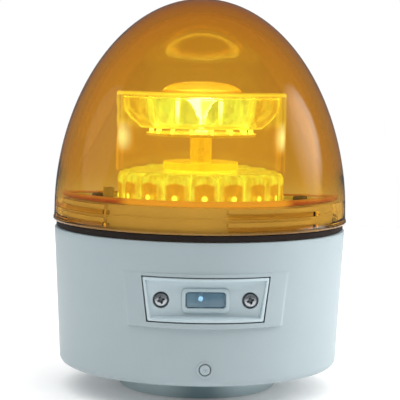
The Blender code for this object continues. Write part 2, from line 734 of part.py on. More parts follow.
def bowl_profile():
    """Outline of the upper lens: a bowl outside, a well inside and a funnel in its middle."""
    high = BOWL_TOP - BOWL_BOTTOM
    outer = []
    for i in range(7):
        share = i / 6
        outer.append(((22.0 + 9.8 * sin(share * pi / 2)) * MM, BOWL_BOTTOM + high * share))
    well_floor = BOWL_BOTTOM + 2.8 * MM
    inner = [(20.9 * MM, BOWL_TOP), (19.4 * MM, well_floor + 4 * MM), (17.3 * MM, well_floor)]
    funnel = [(2.2 * MM, well_floor), (5.6 * MM, BOWL_TOP - 0.4 * MM)]
    funnel += [(5.0 * MM, BOWL_TOP - 0.4 * MM), (0, BOWL_BOTTOM + 5.6 * MM)]
    return [(0, BOWL_BOTTOM)] + outer + inner + funnel


def build_upper_lamp():
    """The disc, post, LED and bowl lens under their clear cylindrical shade."""
    hole = POST_R + GAP
    low = LENS_TOP + GAP
    edge = 0.6 * MM
    profile = [(hole, low), (DISC_R, low), (DISC_R, low + 2.4 * MM - edge)]
    profile += [(DISC_R - edge, low + 2.4 * MM), (hole, low + 2.4 * MM)]
    turned("platform_disc", profile, CLEAR_YELLOW, MEDIUM)
    post_low = LENS_BOTTOM + LED_BOARD_THICK + GAP
    profile = tube_profile(POST_BORE_R, POST_R, post_low, POST_TOP)
    turned("led_post", profile, CLEAR_YELLOW, 24)
    board_low = POST_TOP + GAP
    cylinder("upper_led_board", 9.0 * MM, board_low, board_low + 1.6 * MM, 24, WHITE)
    led_low = board_low + 1.6 * MM + GAP
    look = ((0.95, 0.90, 0.60), 0.3)
    block("upper_led", (-2.5 * MM, -2.5 * MM, led_low), (2.5 * MM, 2.5 * MM, led_low + 1.4 * MM), look)
    turned("upper_lens", bowl_profile(), CLEAR_YELLOW, MEDIUM)
    inner = SHADE_R - SHADE_WALL
    edge = 0.8 * MM
    profile = [(inner, low), (SHADE_R, low), (SHADE_R, SHADE_TOP - edge)]
    profile += [(SHADE_R - 0.3 * edge, SHADE_TOP - 0.3 * edge), (SHADE_R - edge, SHADE_TOP)]
    for turn in (0, 15, 30, 50, 70, 90):
        t = radians(turn)
        rise = SHADE_TOP + SHADE_CAP_RISE * sin(t)
        profile.append((SHADE_CAP_R * cos(t) if turn < 90 else 0, rise))
    profile += [(0, SHADE_TOP - SHADE_WALL + 0.2 * MM)]
    profile += [(inner, SHADE_TOP - SHADE_WALL + 0.2 * MM)]
    turned("lens_shade", profile, CLEAR, MEDIUM)


def dome_wall(radius, height, steps):
    """Half the dome's outline from the shoulder up to the crown."""
    points = []
    for i in range(steps + 1):
        a = pi / 2 * i / steps
        rise = sin(a) ** (2 / DOME_POWER)
        points.append((radius * cos(a) if i < steps else 0, DOME_SHOULDER + height * rise))
    return points


def build_dome():
    """The amber dome, with its lugs and stops, and the black seal that it presses on."""
    inner_r = DOME_R - DOME_WALL
    outer = dome_wall(DOME_R, DOME_HEIGHT, 12)
    inner = dome_wall(inner_r, DOME_HEIGHT - DOME_WALL, 9)
    profile = [(inner_r, DOME_BOTTOM), (DOME_RIM_R, DOME_BOTTOM)]
    profile += [(DOME_RIM_R - 0.1 * MM, DOME_BOTTOM + 1.2 * MM)]
    profile += outer + inner[::-1]
    dome = turned("dome", [(r, z - SEAM) for r, z in profile], AMBER, ROUND, (0, 0, SEAM))
    root = inner_r + 0.7 * MM
    middles = [LUG_FIRST + 360 / LUG_COUNT * i for i in range(LUG_COUNT)]
    lugs = [
        (middle, LUG_SPAN, DOME_LUG_R, root, low, low + LUG_HEIGHT)
        for middle in middles
        for low in DOME_LUG_LOWS
    ]
    join(dome, sectors("dome_lugs", lugs, 5))
    stop_middle = LUG_SPAN / 2 + STOP_CLEAR + STOP_SPAN / 2
    stop_low, stop_high = DOME_LUG_LOWS[0], COLLAR_LUG_LOWS[1] + LUG_HEIGHT
    stops = [
        (middle + stop_middle, STOP_SPAN, DOME_LUG_R, root, stop_low, stop_high)
        for middle in middles
    ]
    join(dome, sectors("dome_stops", stops, 1))
    profile = tube_profile(SEAL_INNER_R, SEAL_OUTER_R, SEAM + GAP, SEAL_TOP)
    turned("dome_seal", profile, BLACK, ROUND)


def build_magnet_foot():
    """The steel cup with its ring magnet and rubber face, and the bolt that holds it on."""
    bolt_hole = MAGNET_BOLT_R + GAP
    shoulder = CUP_TOP - 1.6 * MM
    profile = [(bolt_hole, CUP_TOP), (CUP_TOP_R - 0.8 * MM, CUP_TOP)]
    profile += [(CUP_TOP_R, CUP_TOP - 0.8 * MM), (CUP_TOP_R, shoulder - 2 * MM)]
    profile += [(CUP_RIM_R + 0.7 * MM, 1.4 * MM), (CUP_RIM_R, CUP_RIM_Z)]
    profile += [(PAD_R + GAP, CUP_RIM_Z), (PAD_R + GAP, 2.0 * MM), (30.6 * MM, 4.5 * MM)]
    profile += [(30.6 * MM, shoulder), (bolt_hole, shoulder)]
    turned("magnet_cup", profile[::-1], STEEL, MEDIUM)
    ferrite = ((0.06, 0.06, 0.065), 0.6)
    profile = tube_profile(8.0 * MM, PAD_R, PAD_THICK + GAP, shoulder - GAP)
    turned("magnet_ring", profile, ferrite, MEDIUM)
    cylinder("magnet_pad", PAD_R, 0, PAD_THICK, MEDIUM, BLACK)
    head_top = shoulder - GAP
    profile = [(0, head_top - 3 * MM), (4.4 * MM, head_top - 3 * MM), (4.4 * MM, head_top)]
    tip = HOUSING_BOTTOM + 7.7 * MM
    profile += [(MAGNET_BOLT_R, head_top), (MAGNET_BOLT_R, tip), (0, tip)]
    turned("magnet_bolt", profile, STEEL, SMALL)
    floor = HOUSING_BOTTOM + WALL + GAP
    bore = bolt_hole / cos(pi / 6)  # the bore is six-sided too, so this is its corner radius
    turned("magnet_nut", tube_profile(bore, 4.6 * MM, floor, floor + 4 * MM), STEEL, 6)


def build_cell(name, side):
    """One size D cell, with its tip at +X when side is 1 and at -X when side is -1."""
    can = CELL_LENGTH - 1.8 * MM
    profile = [(0, 0), (CELL_R - 0.8 * MM, 0), (CELL_R, 0.8 * MM), (CELL_R, can - 1.2 * MM)]
    profile += [(CELL_R - 1.2 * MM, can), (4.8 * MM, can), (4.8 * MM, CELL_LENGTH)]
    profile += [(0, CELL_LENGTH)]
    cell = turned(name, profile, ((0.12, 0.12, 0.14), 0.35), 24)
    cell.rotation_euler = (0, side * pi / 2, 0)
    cell.location = (side * (CELL_TIP_X - CELL_LENGTH), -side * CELL_Y, CELL_Z)


def build_spring(name, side):
    """The coil contact at a cell's flat end, wound by a loop."""
    turns, per_turn = 3, 8
    start = CELL_TIP_X - CELL_LENGTH - 0.8 * MM
    end = -PLATE_X + 0.8 * MM
    route = []
    for i in range(turns * per_turn + 1):
        share = i / (turns * per_turn)
        a = 2 * pi * i / per_turn
        r = (4.5 + 3.0 * share) * MM
        route.append((side * (start + (end - start) * share), r * cos(a), r * sin(a)))
    wire(name, route, 0.45 * MM, STEEL, 1, (0, -side * CELL_Y, CELL_Z))


def build_plate(name, side, low_y, high_y):
    """A contact plate that stands against the end wall of the tray."""
    inner, outer = side * PLATE_X, side * (PLATE_X + PLATE_THICK)
    low = (min(inner, outer), low_y, CELL_Z - 8.6 * MM)
    high = (max(inner, outer), high_y, PLATE_TOP)
    block(name, low, high, STEEL)


def build_battery():
    tray = block(
        "battery_tray",
        (-TRAY_HALF_X, -TRAY_HALF_Y, TRAY_FLOOR),
        (TRAY_HALF_X, TRAY_HALF_Y, TRAY_TOP),
        ((0.05, 0.05, 0.055), 0.6),
    )
    floor = TRAY_FLOOR + TRAY_FLOOR_THICK
    low = (-TRAY_POCKET_X, -TRAY_POCKET_Y, floor)
    high = (TRAY_POCKET_X, TRAY_POCKET_Y, TRAY_TOP + 5 * MM)
    cut(tray, block("tray_pocket", low, high, None))
    cut(tray, cylinder("tray_hole", 6.0 * MM, TRAY_FLOOR - 1 * MM, floor + 1 * MM))
    for side, x in (("left", -20 * MM), ("right", 20 * MM)):
        low = (x - 11 * MM, -1.8 * MM, floor - 0.8 * MM)
        high = (x + 11 * MM, 1.8 * MM, floor + 6.5 * MM)
        join(tray, block("tray_rib_" + side, low, high, None))
    for name, side in (("cell_front", 1), ("cell_rear", -1)):
        build_cell(name, side)
    for name, side in (("spring_contact_left", 1), ("spring_contact_right", -1)):
        build_spring(name, side)
    build_plate("link_plate", 1, -26 * MM, 26 * MM)
    build_plate("negative_plate", -1, -26 * MM, -9 * MM)
    build_plate("positive_plate", -1, 9 * MM, 26 * MM)


def build_main_board():
    wide, deep = (size / 2 for size in BOARD_SIZE)
    low = (-wide, -deep, BOARD_TOP - BOARD_THICK)
    board = block("main_board", low, (wide, deep, BOARD_TOP), GREEN)
    for side, x, y in (("left", -PEG_X, PEG_Y), ("right", PEG_X, -PEG_Y)):
        hole = cylinder("board_hole_" + side, 1.4 * MM, -5 * MM, 5 * MM, place=(x, y, BOARD_TOP))
        cut(board, hole)
    base = BOARD_TOP + GAP
    low, high = (5 * MM, -13 * MM, base), (12 * MM, -7 * MM, base + 1.6 * MM)
    block("driver_chip", low, high, BLACK)
    place = (-8 * MM, 10 * MM, base)
    cylinder("capacitor", 4.0 * MM, 0, 10 * MM, SMALL, ((0.08, 0.09, 0.2), 0.3), place)
    place = (13 * MM, 9 * MM, base)
    turned("coil", tube_profile(1.5 * MM, 5 * MM, 0, 5 * MM), DARK_STEEL, SMALL, place)


def build_leads():
    """The wires inside, each along its own route."""
    red = ((0.5, 0.03, 0.02), 0.5)
    black = ((0.02, 0.02, 0.02), 0.5)
    white = ((0.7, 0.7, 0.68), 0.5)
    positive = [(-33.9, 17.6, -21.9), (-34.2, 17.6, -14), (-32.5, 17, -4), (-28.5, 15.5, -0.6)]
    lead("positive_lead", positive + [(-25.6, 14.4, -3.3)], red)
    negative = [(-33.9, -17.6, -21.9), (-34.2, -17.6, -14), (-32.5, -17, -4), (-28.5, -15.5, -0.6)]
    lead("negative_lead", negative + [(-25.6, -14.4, -3.3)], black)
    lamp = [(4.5, 1.6, -3.3), (3.2, 1.1, 0), (1.0, 0.3, 5), (0, 0, 10), (0, 0, 24), (0, 0, 36)]
    lead("lamp_lead", lamp, white)
    sensor = [(4, -45.6, -21), (4, -42.5, -17), (4, -37, -10), (4.5, -27, -1), (5, -18, -3.2)]
    lead("sensor_lead", sensor, white)
    button = [(0, -42.6, -46), (-2, -40, -40), (-4, -40, -26), (-5, -38, -14), (-7, -29, -2)]
    lead("button_lead", button + [(-8, -18, -3.2)], white)
    mode = [(-37, -10, 4.4), (-36.5, -10, 0.5), (-32, -8, -1.4), (-25.5, -6, -3.2)]
    lead("mode_lead", mode, white)


def main():
    clear_scene()
    build_magnet_foot()
    build_housing()
    build_panel()
    build_button()
    build_battery()
    build_main_board()
    build_collar()
    build_mode_switch()
    build_lower_lamp()
    build_upper_lamp()
    build_leads()
    build_dome()


main()
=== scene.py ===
"""Looks of the battery beacon: amber dome, lit lamp unit, light grey housing and magnet foot."""

from math import atan2, cos, degrees, pi, radians, sin, sqrt

import bmesh
import bpy
from mathutils import Matrix, Vector


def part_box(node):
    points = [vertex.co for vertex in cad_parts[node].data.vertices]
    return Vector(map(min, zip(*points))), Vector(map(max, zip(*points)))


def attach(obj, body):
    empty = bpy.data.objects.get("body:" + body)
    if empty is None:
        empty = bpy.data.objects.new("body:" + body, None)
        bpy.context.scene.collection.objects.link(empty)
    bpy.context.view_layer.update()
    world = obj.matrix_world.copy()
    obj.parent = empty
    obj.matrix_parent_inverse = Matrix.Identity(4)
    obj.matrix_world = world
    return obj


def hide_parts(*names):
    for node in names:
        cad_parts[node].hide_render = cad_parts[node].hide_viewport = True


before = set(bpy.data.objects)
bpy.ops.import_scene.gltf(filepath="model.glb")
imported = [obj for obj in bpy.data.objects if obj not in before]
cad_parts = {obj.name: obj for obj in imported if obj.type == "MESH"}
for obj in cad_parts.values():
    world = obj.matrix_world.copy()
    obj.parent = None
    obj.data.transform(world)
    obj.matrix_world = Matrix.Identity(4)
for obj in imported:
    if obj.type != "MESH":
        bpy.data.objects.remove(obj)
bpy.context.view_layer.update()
scene = bpy.context.scene
MM = 0.001
BASE = "base"


def low(node):
    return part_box(node)[0]


def high(node):
    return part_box(node)[1]


def middle(node):
    return (low(node) + high(node)) / 2


GAP = 0.3 * MM  # clearance between neighbouring pieces
SEAM = low("dome_seal").z - GAP  # the housing's top face


def up(height):
    """A height given in millimetres above the housing's top face."""
    return SEAM + height * MM


# ---------------- mesh helpers


def mm(*points, z=0.0):
    """(radius, height) points given in millimetres, with heights measured up from z."""
    return [(r * MM, z + h * MM) for r, h in points]


def around(r, a, z):
    """A point at radius r and height z; a is in degrees from the front towards +X."""
    return Vector((r * sin(radians(a)), -r * cos(radians(a)), z))


def even_angles(count, extra=()):
    made = {round(360 * i / count, 4) for i in range(count)}
    made |= {round(a % 360, 4) for a in extra}
    return sorted(made)


def ring(radius, z, angles):
    """One ring of points; the radius is a number or a function of the angle."""
    return [around(radius(a) if callable(radius) else radius, a, z) for a in angles]


def turned_rows(profile, angles):
    """Rows for skin() from (radius, height) points: a ring, or one point on the axis."""
    rows = []
    for r, z in profile:
        on_axis = not callable(r) and r < 1e-7
        rows.append([Vector((0, 0, z))] if on_axis else ring(r, z, angles))
    return rows


def skin(name, rows, wrap=False, smooth=35.0):
    """Join rows of points (a row of one point is a pole) into a closed mesh object."""
    shape = bmesh.new()
    made = [[shape.verts.new(p) for p in row] for row in rows]
    pairs = list(zip(made, made[1:]))
    if wrap:
        pairs.append((made[-1], made[0]))
    for row, after in pairs:
        count = max(len(row), len(after))
        if count == 1:
            continue
        for i in range(count):
            k = (i + 1) % count
            if len(row) == 1:
                shape.faces.new((row[0], after[k], after[i]))
            elif len(after) == 1:
                shape.faces.new((row[i], row[k], after[0]))
            else:
                shape.faces.new((row[i], row[k], after[k], after[i]))
    if not wrap:
        for row in (made[0], made[-1]):
            if len(row) > 1:
                shape.faces.new(row)
    return from_bmesh(name, shape, smooth)


def add_object(name, data):
    made = bpy.data.objects.new(name, data)
    scene.collection.objects.link(made)
    return made


def from_bmesh(name, shape, smooth=35.0):
    bmesh.ops.remove_doubles(shape, verts=shape.verts, dist=1e-7)
    bmesh.ops.recalc_face_normals(shape, faces=shape.faces)
    mesh = bpy.data.meshes.new(name)
    shape.to_mesh(mesh)
    shape.free()
    made = add_object(name, mesh)
    shade(made, smooth)
    return made


def shade(item, smooth):
    item.data.shade_smooth()
    item.data.set_sharp_from_angle(angle=radians(smooth))


def lathe(name, profile, sides=128, smooth=35.0):
    """A turned piece; its outline closes on itself unless it starts on the axis."""
    rows = turned_rows(profile, even_angles(sides))
    return skin(name, rows, len(rows[0]) > 1, smooth)


def arc(centre, radius, start, end, steps):
    turns = [radians(start + (end - start) * i / steps) for i in range(steps + 1)]
    return [(centre[0] + radius * cos(t), centre[1] + radius * sin(t)) for t in turns]


def soften(profile, radius, steps=4):
    """Round the corners of a closed (radius, height) outline, apart from those on the axis."""
    made = []
    for i, (x, z) in enumerate(profile):
        if x < 1e-7:
            made.append((x, z))
            continue
        here = Vector((x, z))
        before = Vector(profile[i - 1]) - here
        after = Vector(profile[(i + 1) % len(profile)]) - here
        reach = min(radius, before.length * 0.45, after.length * 0.45)
        for k in range(steps + 1):
            t = k / steps
            bend = before.normalized() * reach * (1 - t) ** 2 + after.normalized() * reach * t**2
            made.append(tuple(here + bend))
    return made


def box_piece(name, lo, hi, bevel=0.0, segments=3):
    shape = bmesh.new()
    bmesh.ops.create_cube(shape, size=1.0)
    for vert in shape.verts:
        for k in range(3):
            vert.co[k] = (lo[k] + hi[k]) / 2 + vert.co[k] * (hi[k] - lo[k])
    if bevel:
        bmesh.ops.bevel(
            shape, geom=shape.edges[:], offset=bevel, segments=segments, affect="EDGES", profile=0.5
        )
    return from_bmesh(name, shape, 40.0)


def transform(item, matrix):
    item.data.transform(matrix)
    return item


def moved(item, x, y, z):
    return transform(item, Matrix.Translation((x, y, z)))


def join(target, tool, smooth=32.0):
    cut(target, tool, smooth, "UNION")


def cut(target, tool, smooth=32.0, operation="DIFFERENCE"):
    """Apply a Boolean at once, remove its tool and shade the result again."""
    step = target.modifiers.new("cut", "BOOLEAN")
    step.operation = operation
    step.solver = "EXACT"
    step.object = tool
    bpy.context.view_layer.update()
    graph = bpy.context.evaluated_depsgraph_get()
    made = bpy.data.meshes.new_from_object(target.evaluated_get(graph))
    target.modifiers.clear()
    old = target.data
    target.data = made
    made.name = target.name
    bpy.data.meshes.remove(old)
    bpy.data.objects.remove(tool, do_unlink=True)
    shade(target, smooth)


def facing_front(item, x, y, z):
    """Turn a piece made along +Z so that it points out of the front, and move it there."""
    return transform(item, Matrix.Translation((x, y, z)) @ Matrix.Rotation(pi / 2, 4, "X"))


def turned_tool(outline, sides, x=0.0, y=0.0, z=0.0):
    return moved(lathe("tool", outline, sides), x, y, z)


def front_tool(outline, sides, x, y, z):
    """A turned tool pointing out of the front at (x, y, z)."""
    return facing_front(lathe("tool", outline, sides), x, y, z)


def front_peg(radius, back, front, sides, x, y, z):
    """A round tool along Y, from back to front of the point (x, y, z)."""
    return front_tool([(0, back), (radius, back), (radius, front), (0, front)], sides, x, y, z)


def upright_plate(name, size, corner, layers, centre):
    """A rounded rectangular plate facing the front, from (y, inset) layers."""
    rows = []
    for y, inset in layers:
        half_x, half_z = size[0] / 2 - inset, size[1] / 2 - inset
        round_r = corner - inset * 0.8
        outline = []
        for quarter, (sx, sz) in enumerate(((1, 1), (-1, 1), (-1, -1), (1, -1))):
            bend = (sx * (half_x - round_r), sz * (half_z - round_r))
            outline += arc(bend, round_r, 90 * quarter, 90 * quarter + 90, 6)
        rows.append([Vector((x + centre[0], y, z + centre[1])) for x, z in outline])
    return skin(name, rows, smooth=30.0)


# ---------------- material helpers


class Field:
    """A value that a material works out at each point; arithmetic on it adds nodes."""

    def __init__(self, tree, socket):
        self.tree = tree
        self.socket = socket

    def math(self, operation, *others):
        node = self.tree.nodes.new("ShaderNodeMath")
        node.operation = operation
        for entry, given in zip(node.inputs, (self, *others)):
            feed(entry, given)
        return Field(self.tree, node.outputs[0])

    def __add__(self, other):
        return self.math("ADD", other)

    def __sub__(self, other):
        return self.math("SUBTRACT", other)

    def __mul__(self, other):
        return self.math("MULTIPLY", other)

    def __abs__(self):
        return self.math("ABSOLUTE")

    def larger(self, other):
        return self.math("MAXIMUM", other)

    def ramp(self, start, end, first=0.0, last=1.0, smooth=False):
        """Map start..end to first..last and hold the ends."""
        node = self.tree.nodes.new("ShaderNodeMapRange")
        if smooth:
            node.interpolation_type = "SMOOTHSTEP"
        for name, number in (("From Min", start), ("From Max", end), ("To Min", first), ("To Max", last)):
            node.inputs[name].default_value = number
        feed(node.inputs["Value"], self)
        return Field(self.tree, node.outputs["Result"])

    def ease(self, start, end, first=0.0, last=1.0):
        return self.ramp(start, end, first, last, smooth=True)

    def mix(self, first, second):
        """Blend two colours: the first where this is 0, the second where it is 1."""
        node = self.tree.nodes.new("ShaderNodeMix")
        node.data_type = "RGBA"
        for entry, given in zip([s for s in node.inputs if s.type == "RGBA"], (first, second)):
            feed(entry, given)
        feed(node.inputs["Factor"], self)
        return Field(self.tree, next(s for s in node.outputs if s.type == "RGBA"))


def feed(entry, given):
    """Link a field to a socket, or set a number or a colour on it."""
    if isinstance(given, Field):
        given.tree.links.new(given.socket, entry)
    else:
        entry.default_value = (*given, 1) if isinstance(given, tuple) else given


def new_material(name):
    """A material, its node tree and the sockets of its shader."""
    made = bpy.data.materials.new(name)
    made.use_nodes = True
    return made, made.node_tree, shader_of(made)


def shader_of(material):
    return material.node_tree.nodes["Principled BSDF"].inputs


def object_point(tree, stretch=(1, 1, 1)):
    spot = tree.nodes.new("ShaderNodeTexCoord")
    mapping = tree.nodes.new("ShaderNodeMapping")
    mapping.inputs["Scale"].default_value = stretch
    tree.links.new(spot.outputs["Object"], mapping.inputs["Vector"])
    return mapping.outputs["Vector"]


def noise(tree, scale, stretch=(1, 1, 1), detail=3.0):
    node = tree.nodes.new("ShaderNodeTexNoise")
    node.inputs["Scale"].default_value = scale
    node.inputs["Detail"].default_value = detail
    node.inputs["Roughness"].default_value = 0.55
    tree.links.new(object_point(tree, stretch), node.inputs["Vector"])
    return Field(tree, node.outputs["Fac"])


def coordinates(tree):
    spot = tree.nodes.new("ShaderNodeTexCoord")
    parts = tree.nodes.new("ShaderNodeSeparateXYZ")
    tree.links.new(spot.outputs["Object"], parts.inputs["Vector"])
    return [Field(tree, socket) for socket in parts.outputs]


def length(x, y):
    return (x * x + y * y).math("SQRT")


def polar(tree):
    """A point's angle in turns from the front, its distance from the axis and its height."""
    x, y, z = coordinates(tree)
    return x.math("ARCTAN2", y * -1.0).math("DIVIDE", 2 * pi), length(x, y), z


def add_bump(tree, shader, height, distance, strength=1.0):
    node = tree.nodes.new("ShaderNodeBump")
    node.inputs["Distance"].default_value = distance
    node.inputs["Strength"].default_value = strength
    feed(node.inputs["Height"], height)
    tree.links.new(node.outputs["Normal"], shader["Normal"])


def moulded(
    name, colour, roughness, grain=0.02, grain_scale=1500, mottle=0.05, metallic=0.0, stretch=(1, 1, 1)
):
    """Plastic, rubber or metal with a fine grain, a faint mottle and uneven gloss."""
    made, tree, shader = new_material(name)
    fine = noise(tree, grain_scale, stretch, 4.0)
    mixed = fine * 0.35 + noise(tree, 60.0, stretch) * 0.65
    darker = tuple(c * (1 - mottle) for c in colour)
    lighter = tuple(min(1.0, c * (1 + mottle)) for c in colour)
    feed(shader["Base Color"], mixed.ramp(0.35, 0.65).mix(darker, lighter))
    feed(shader["Roughness"], mixed.ramp(0.3, 0.7, roughness * 0.86, min(1.0, roughness * 1.14)))
    feed(shader["Metallic"], metallic)
    add_bump(tree, shader, fine, grain * MM)
    return made


def lamp_grain(tree):
    return noise(tree, 350.0)


def glowing(name, colour, roughness, transmission, light, ior=1.49):
    """Lamp plastic with painted light, emission that stands in for the LEDs' light in it: a (colour,
    strength) pair or a function that gives one.
    """
    made, tree, shader = new_material(name)
    feed(shader["Transmission Weight"], transmission)
    feed(shader["IOR"], ior)
    fine = lamp_grain(tree)
    share = fine.ramp(0.35, 0.65)
    feed(shader["Base Color"], share.mix(tuple(c * 0.86 for c in colour), colour))
    feed(shader["Roughness"], fine.ramp(0.3, 0.7, roughness * 0.7, roughness * 1.3))
    add_bump(tree, shader, fine, 0.03 * MM)
    if callable(light):
        glow, strength = light(tree)
    else:
        glow = share.mix(tuple(c * 0.82 for c in light[0]), light[0])
        strength = light[1]
    feed(shader["Emission Color"], glow)
    feed(shader["Emission Strength"], strength)
    return made


# ---------------- housing

HOUSING_BOTTOM = low("housing").z
HOUSING_TOP_R = 59.0 * MM
HOUSING_BOTTOM_R = 56.4 * MM
HOUSING_EDGE_R = 3.0 * MM
FLOOR_HOLE_R = 3.0 * MM  # the magnet foot's bolt goes through it
WALL = 2.4 * MM
PAD_TOP = up(-11.7)
PAD_BOTTOM = up(-32.6)
PAD_TOP_HALF = 31.4 * MM
PAD_BOTTOM_HALF = 29.0 * MM
PAD_CURVE_R = 54.5 * MM
PAD_CENTRE = 4.8 * MM  # how far in front of the axis the pad's curve is centred
PAD_REACH = 50  # degrees to each side within which the pad lies
COVER_TOP = up(-13.5)
COVER_BOTTOM = up(-30.1)
COVER_TOP_HALF = 24.05 * MM
COVER_BOTTOM_HALF = 21.9 * MM
COVER_GAP = 0.45 * MM
COVER_RIM = 1.1 * MM
COVER_FACE_Y = -53.3 * MM
COVER_BACK_Y = -51.3 * MM
POCKET_FLOOR_Y = -50.0 * MM
POCKET_BACK_Y = -47.8 * MM
POCKET_HALF = 26.0 * MM
PANEL_Z = middle("sensor_window").z
WINDOW_SIZE = (15.1 * MM, 6.1 * MM)
SCREW_X = middle("cover_screw_right").x
DECK_SCREW_R = 3.05 * MM
BOSS_X = high("deck_screw_right").x - DECK_SCREW_R
BUTTON_Z = middle("power_button").z
BUTTON_R = 2.05 * MM


def taper_r(z):
    share = (SEAM - z) / (SEAM - HOUSING_BOTTOM)
    return HOUSING_TOP_R + (HOUSING_BOTTOM_R - HOUSING_TOP_R) * share


def housing_radius(z):
    """The housing's outside at a height, as a function of the angle, with the raised pad."""
    plain = taper_r(z)
    inside = min((z - PAD_BOTTOM) / (0.6 * MM), (PAD_TOP - z) / (1.2 * MM), 1.0)
    if inside <= 0:
        return lambda a: plain
    rise = sqrt(1 - (1 - inside) ** 2)
    share = (z - PAD_BOTTOM) / (PAD_TOP - PAD_BOTTOM)
    half = PAD_BOTTOM_HALF + (PAD_TOP_HALF - PAD_BOTTOM_HALF) * share
    blend = 0.2 * MM

    def radius(a):
        a = (a + 180) % 360 - 180
        if abs(a) > PAD_REACH:
            return plain
        t = radians(a)
        reach = PAD_CENTRE * cos(t) + sqrt(PAD_CURVE_R**2 - (PAD_CENTRE * sin(t)) ** 2)
        reach -= 1.2 * max(0.0, abs(reach * sin(t)) - half)
        proud = reach - plain
        fade = 1 - (abs(a) / PAD_REACH) ** 6
        return plain + rise * (proud + sqrt(proud**2 + blend**2)) / 2 * fade

    return radius


def trapezium(inset, y):
    """The service cover's four corners, moved in by inset, at a depth y."""
    top, bottom = COVER_TOP - inset, COVER_BOTTOM + inset
    top_half, bottom_half = COVER_TOP_HALF - inset, COVER_BOTTOM_HALF - inset
    corners = ((-bottom_half, bottom), (bottom_half, bottom), (top_half, top), (-top_half, top))
    return [Vector((x, y, z)) for x, z in corners]


def housing_outside(angles):
    corner_z = HOUSING_BOTTOM + HOUSING_EDGE_R
    corner = (taper_r(corner_z) - HOUSING_EDGE_R, corner_z)
    rows = turned_rows([(FLOOR_HOLE_R, HOUSING_BOTTOM)] + arc(corner, HOUSING_EDGE_R, -90, 0, 10), angles)
    heights = [corner_z + 1.5 * MM * i for i in range(1, 34)]
    for edge, way in ((PAD_BOTTOM, 1), (PAD_TOP, -1)):
        heights = [z for z in heights if abs(z - edge) > 1.3 * MM]
        heights += [edge + way * d * MM for d in (-0.3, 0.0, 0.015, 0.06, 0.15, 0.3, 0.45, 0.6, 0.9, 1.2)]
    heights = sorted(z for z in heights if z < up(-1.0))
    rows += [ring(housing_radius(z), z, angles) for z in heights]
    for across, above in ((0.5, 0.0), (0.45, 0.2), (0.32, 0.35), (0.15, 0.45), (0.0, 0.5)):
        rows.append(ring(taper_r(SEAM) + (across - 0.5) * MM, up(above - 0.5), angles))
    return rows


def build_housing():
    block_edge = degrees(atan2(POCKET_HALF, -POCKET_BACK_Y))
    dense = [i * 0.5 for i in range(-76, 77)] + [-block_edge, block_edge]
    dense += [-block_edge - 0.3, block_edge + 0.3]
    angles = even_angles(180, dense)
    floor_top = HOUSING_BOTTOM + WALL
    block_low, block_high = PAD_BOTTOM - 0.6 * MM, PAD_TOP + 0.6 * MM

    def inner(z):
        """The inside, with a flat block behind the cover's pocket."""
        plain = taper_r(z) - WALL

        def radius(a):
            a = (a + 180) % 360 - 180
            if abs(a) > block_edge + 0.01 or not block_low <= z <= block_high:
                return plain
            return min(plain, -POCKET_BACK_Y / cos(radians(a)))

        return radius

    step = 0.1 * MM
    heights = [SEAM, block_high + step, block_high, (block_high + block_low) / 2]
    heights += [block_low, block_low - step, floor_top + 20 * MM, floor_top]
    rows = housing_outside(angles) + [ring(inner(z), z, angles) for z in heights]
    rows += [ring(FLOOR_HOLE_R, floor_top, angles)]
    housing = skin("housing_shell", rows, wrap=True, smooth=32.0)

    boss_top, hole_bottom = high("housing").z, up(-6)
    for side in (-1, 1):
        outline = [(0, floor_top - 1 * MM), (4 * MM, floor_top - 1 * MM), (4 * MM, boss_top)]
        outline += [(1.8 * MM, boss_top), (1.8 * MM, hole_bottom), (0, hole_bottom)]
        join(housing, turned_tool(outline, 40, side * BOSS_X))
        lo = (side * 6.05 * MM - 0.75 * MM, -46.6 * MM, HOUSING_BOTTOM + 1 * MM)
        hi = (side * 6.05 * MM + 0.75 * MM, -42.6 * MM, BUTTON_Z + 5.3 * MM)
        join(housing, box_piece("guide", lo, hi))
    surface = taper_r(BUTTON_Z)
    outline = mm((0, -1.2), (3.35, -1.2), (3.35, 0.2), (3.2, 0.35), (2.75, 0.35), (2.62, 0.2), (0, 0.2))
    join(housing, front_tool(outline, 64, 0, -surface, BUTTON_Z))

    pocket = skin("pocket", [trapezium(-COVER_GAP, y) for y in (-65 * MM, POCKET_FLOOR_Y)])
    cut(housing, pocket)
    lo, hi = (-9.5 * MM, -52 * MM, PANEL_Z - 5 * MM), (9.5 * MM, -45 * MM, PANEL_Z + 5 * MM)
    cut(housing, box_piece("window_hole", lo, hi))
    for x in (-SCREW_X, SCREW_X):
        cut(housing, front_peg(1.5 * MM, -5 * MM, 5 * MM, 24, x, -49 * MM, PANEL_Z))
    cut(housing, front_peg(2.35 * MM, -6 * MM, 6 * MM, 48, 0, -surface, BUTTON_Z))
    return housing


# ---------------- service cover, window, button


def cover_ring(inset, depth=None, push=0.0):
    """One loop round the cover's outline, on a flat plane at a depth or on the pad's curve."""
    corners = [Vector((p.x, p.z)) for p in trapezium(inset, 0)]
    round_r = max(0.15 * MM, 0.5 * MM - inset * 0.2)
    curve_r = PAD_CURVE_R - 0.1 * MM
    points = []
    for i, count in enumerate((40, 14, 40, 14)):
        start, end = corners[i], corners[(i + 1) % 4]
        along = (end - start).normalized()
        first, last = start + along * round_r, end - along * round_r
        points += [first.lerp(last, k / count) for k in range(count + 1)]
        following = (corners[(i + 2) % 4] - end).normalized()
        for t in (0.25, 0.5, 0.75):
            points.append(last * (1 - t) ** 2 + end * 2 * t * (1 - t) + (end + following * round_r) * t**2)
    loop = []
    for p in points:
        y = depth if depth is not None else -(PAD_CENTRE + sqrt(curve_r**2 - p.x**2)) + push
        loop.append(Vector((p.x, y, p.y)))
    return loop


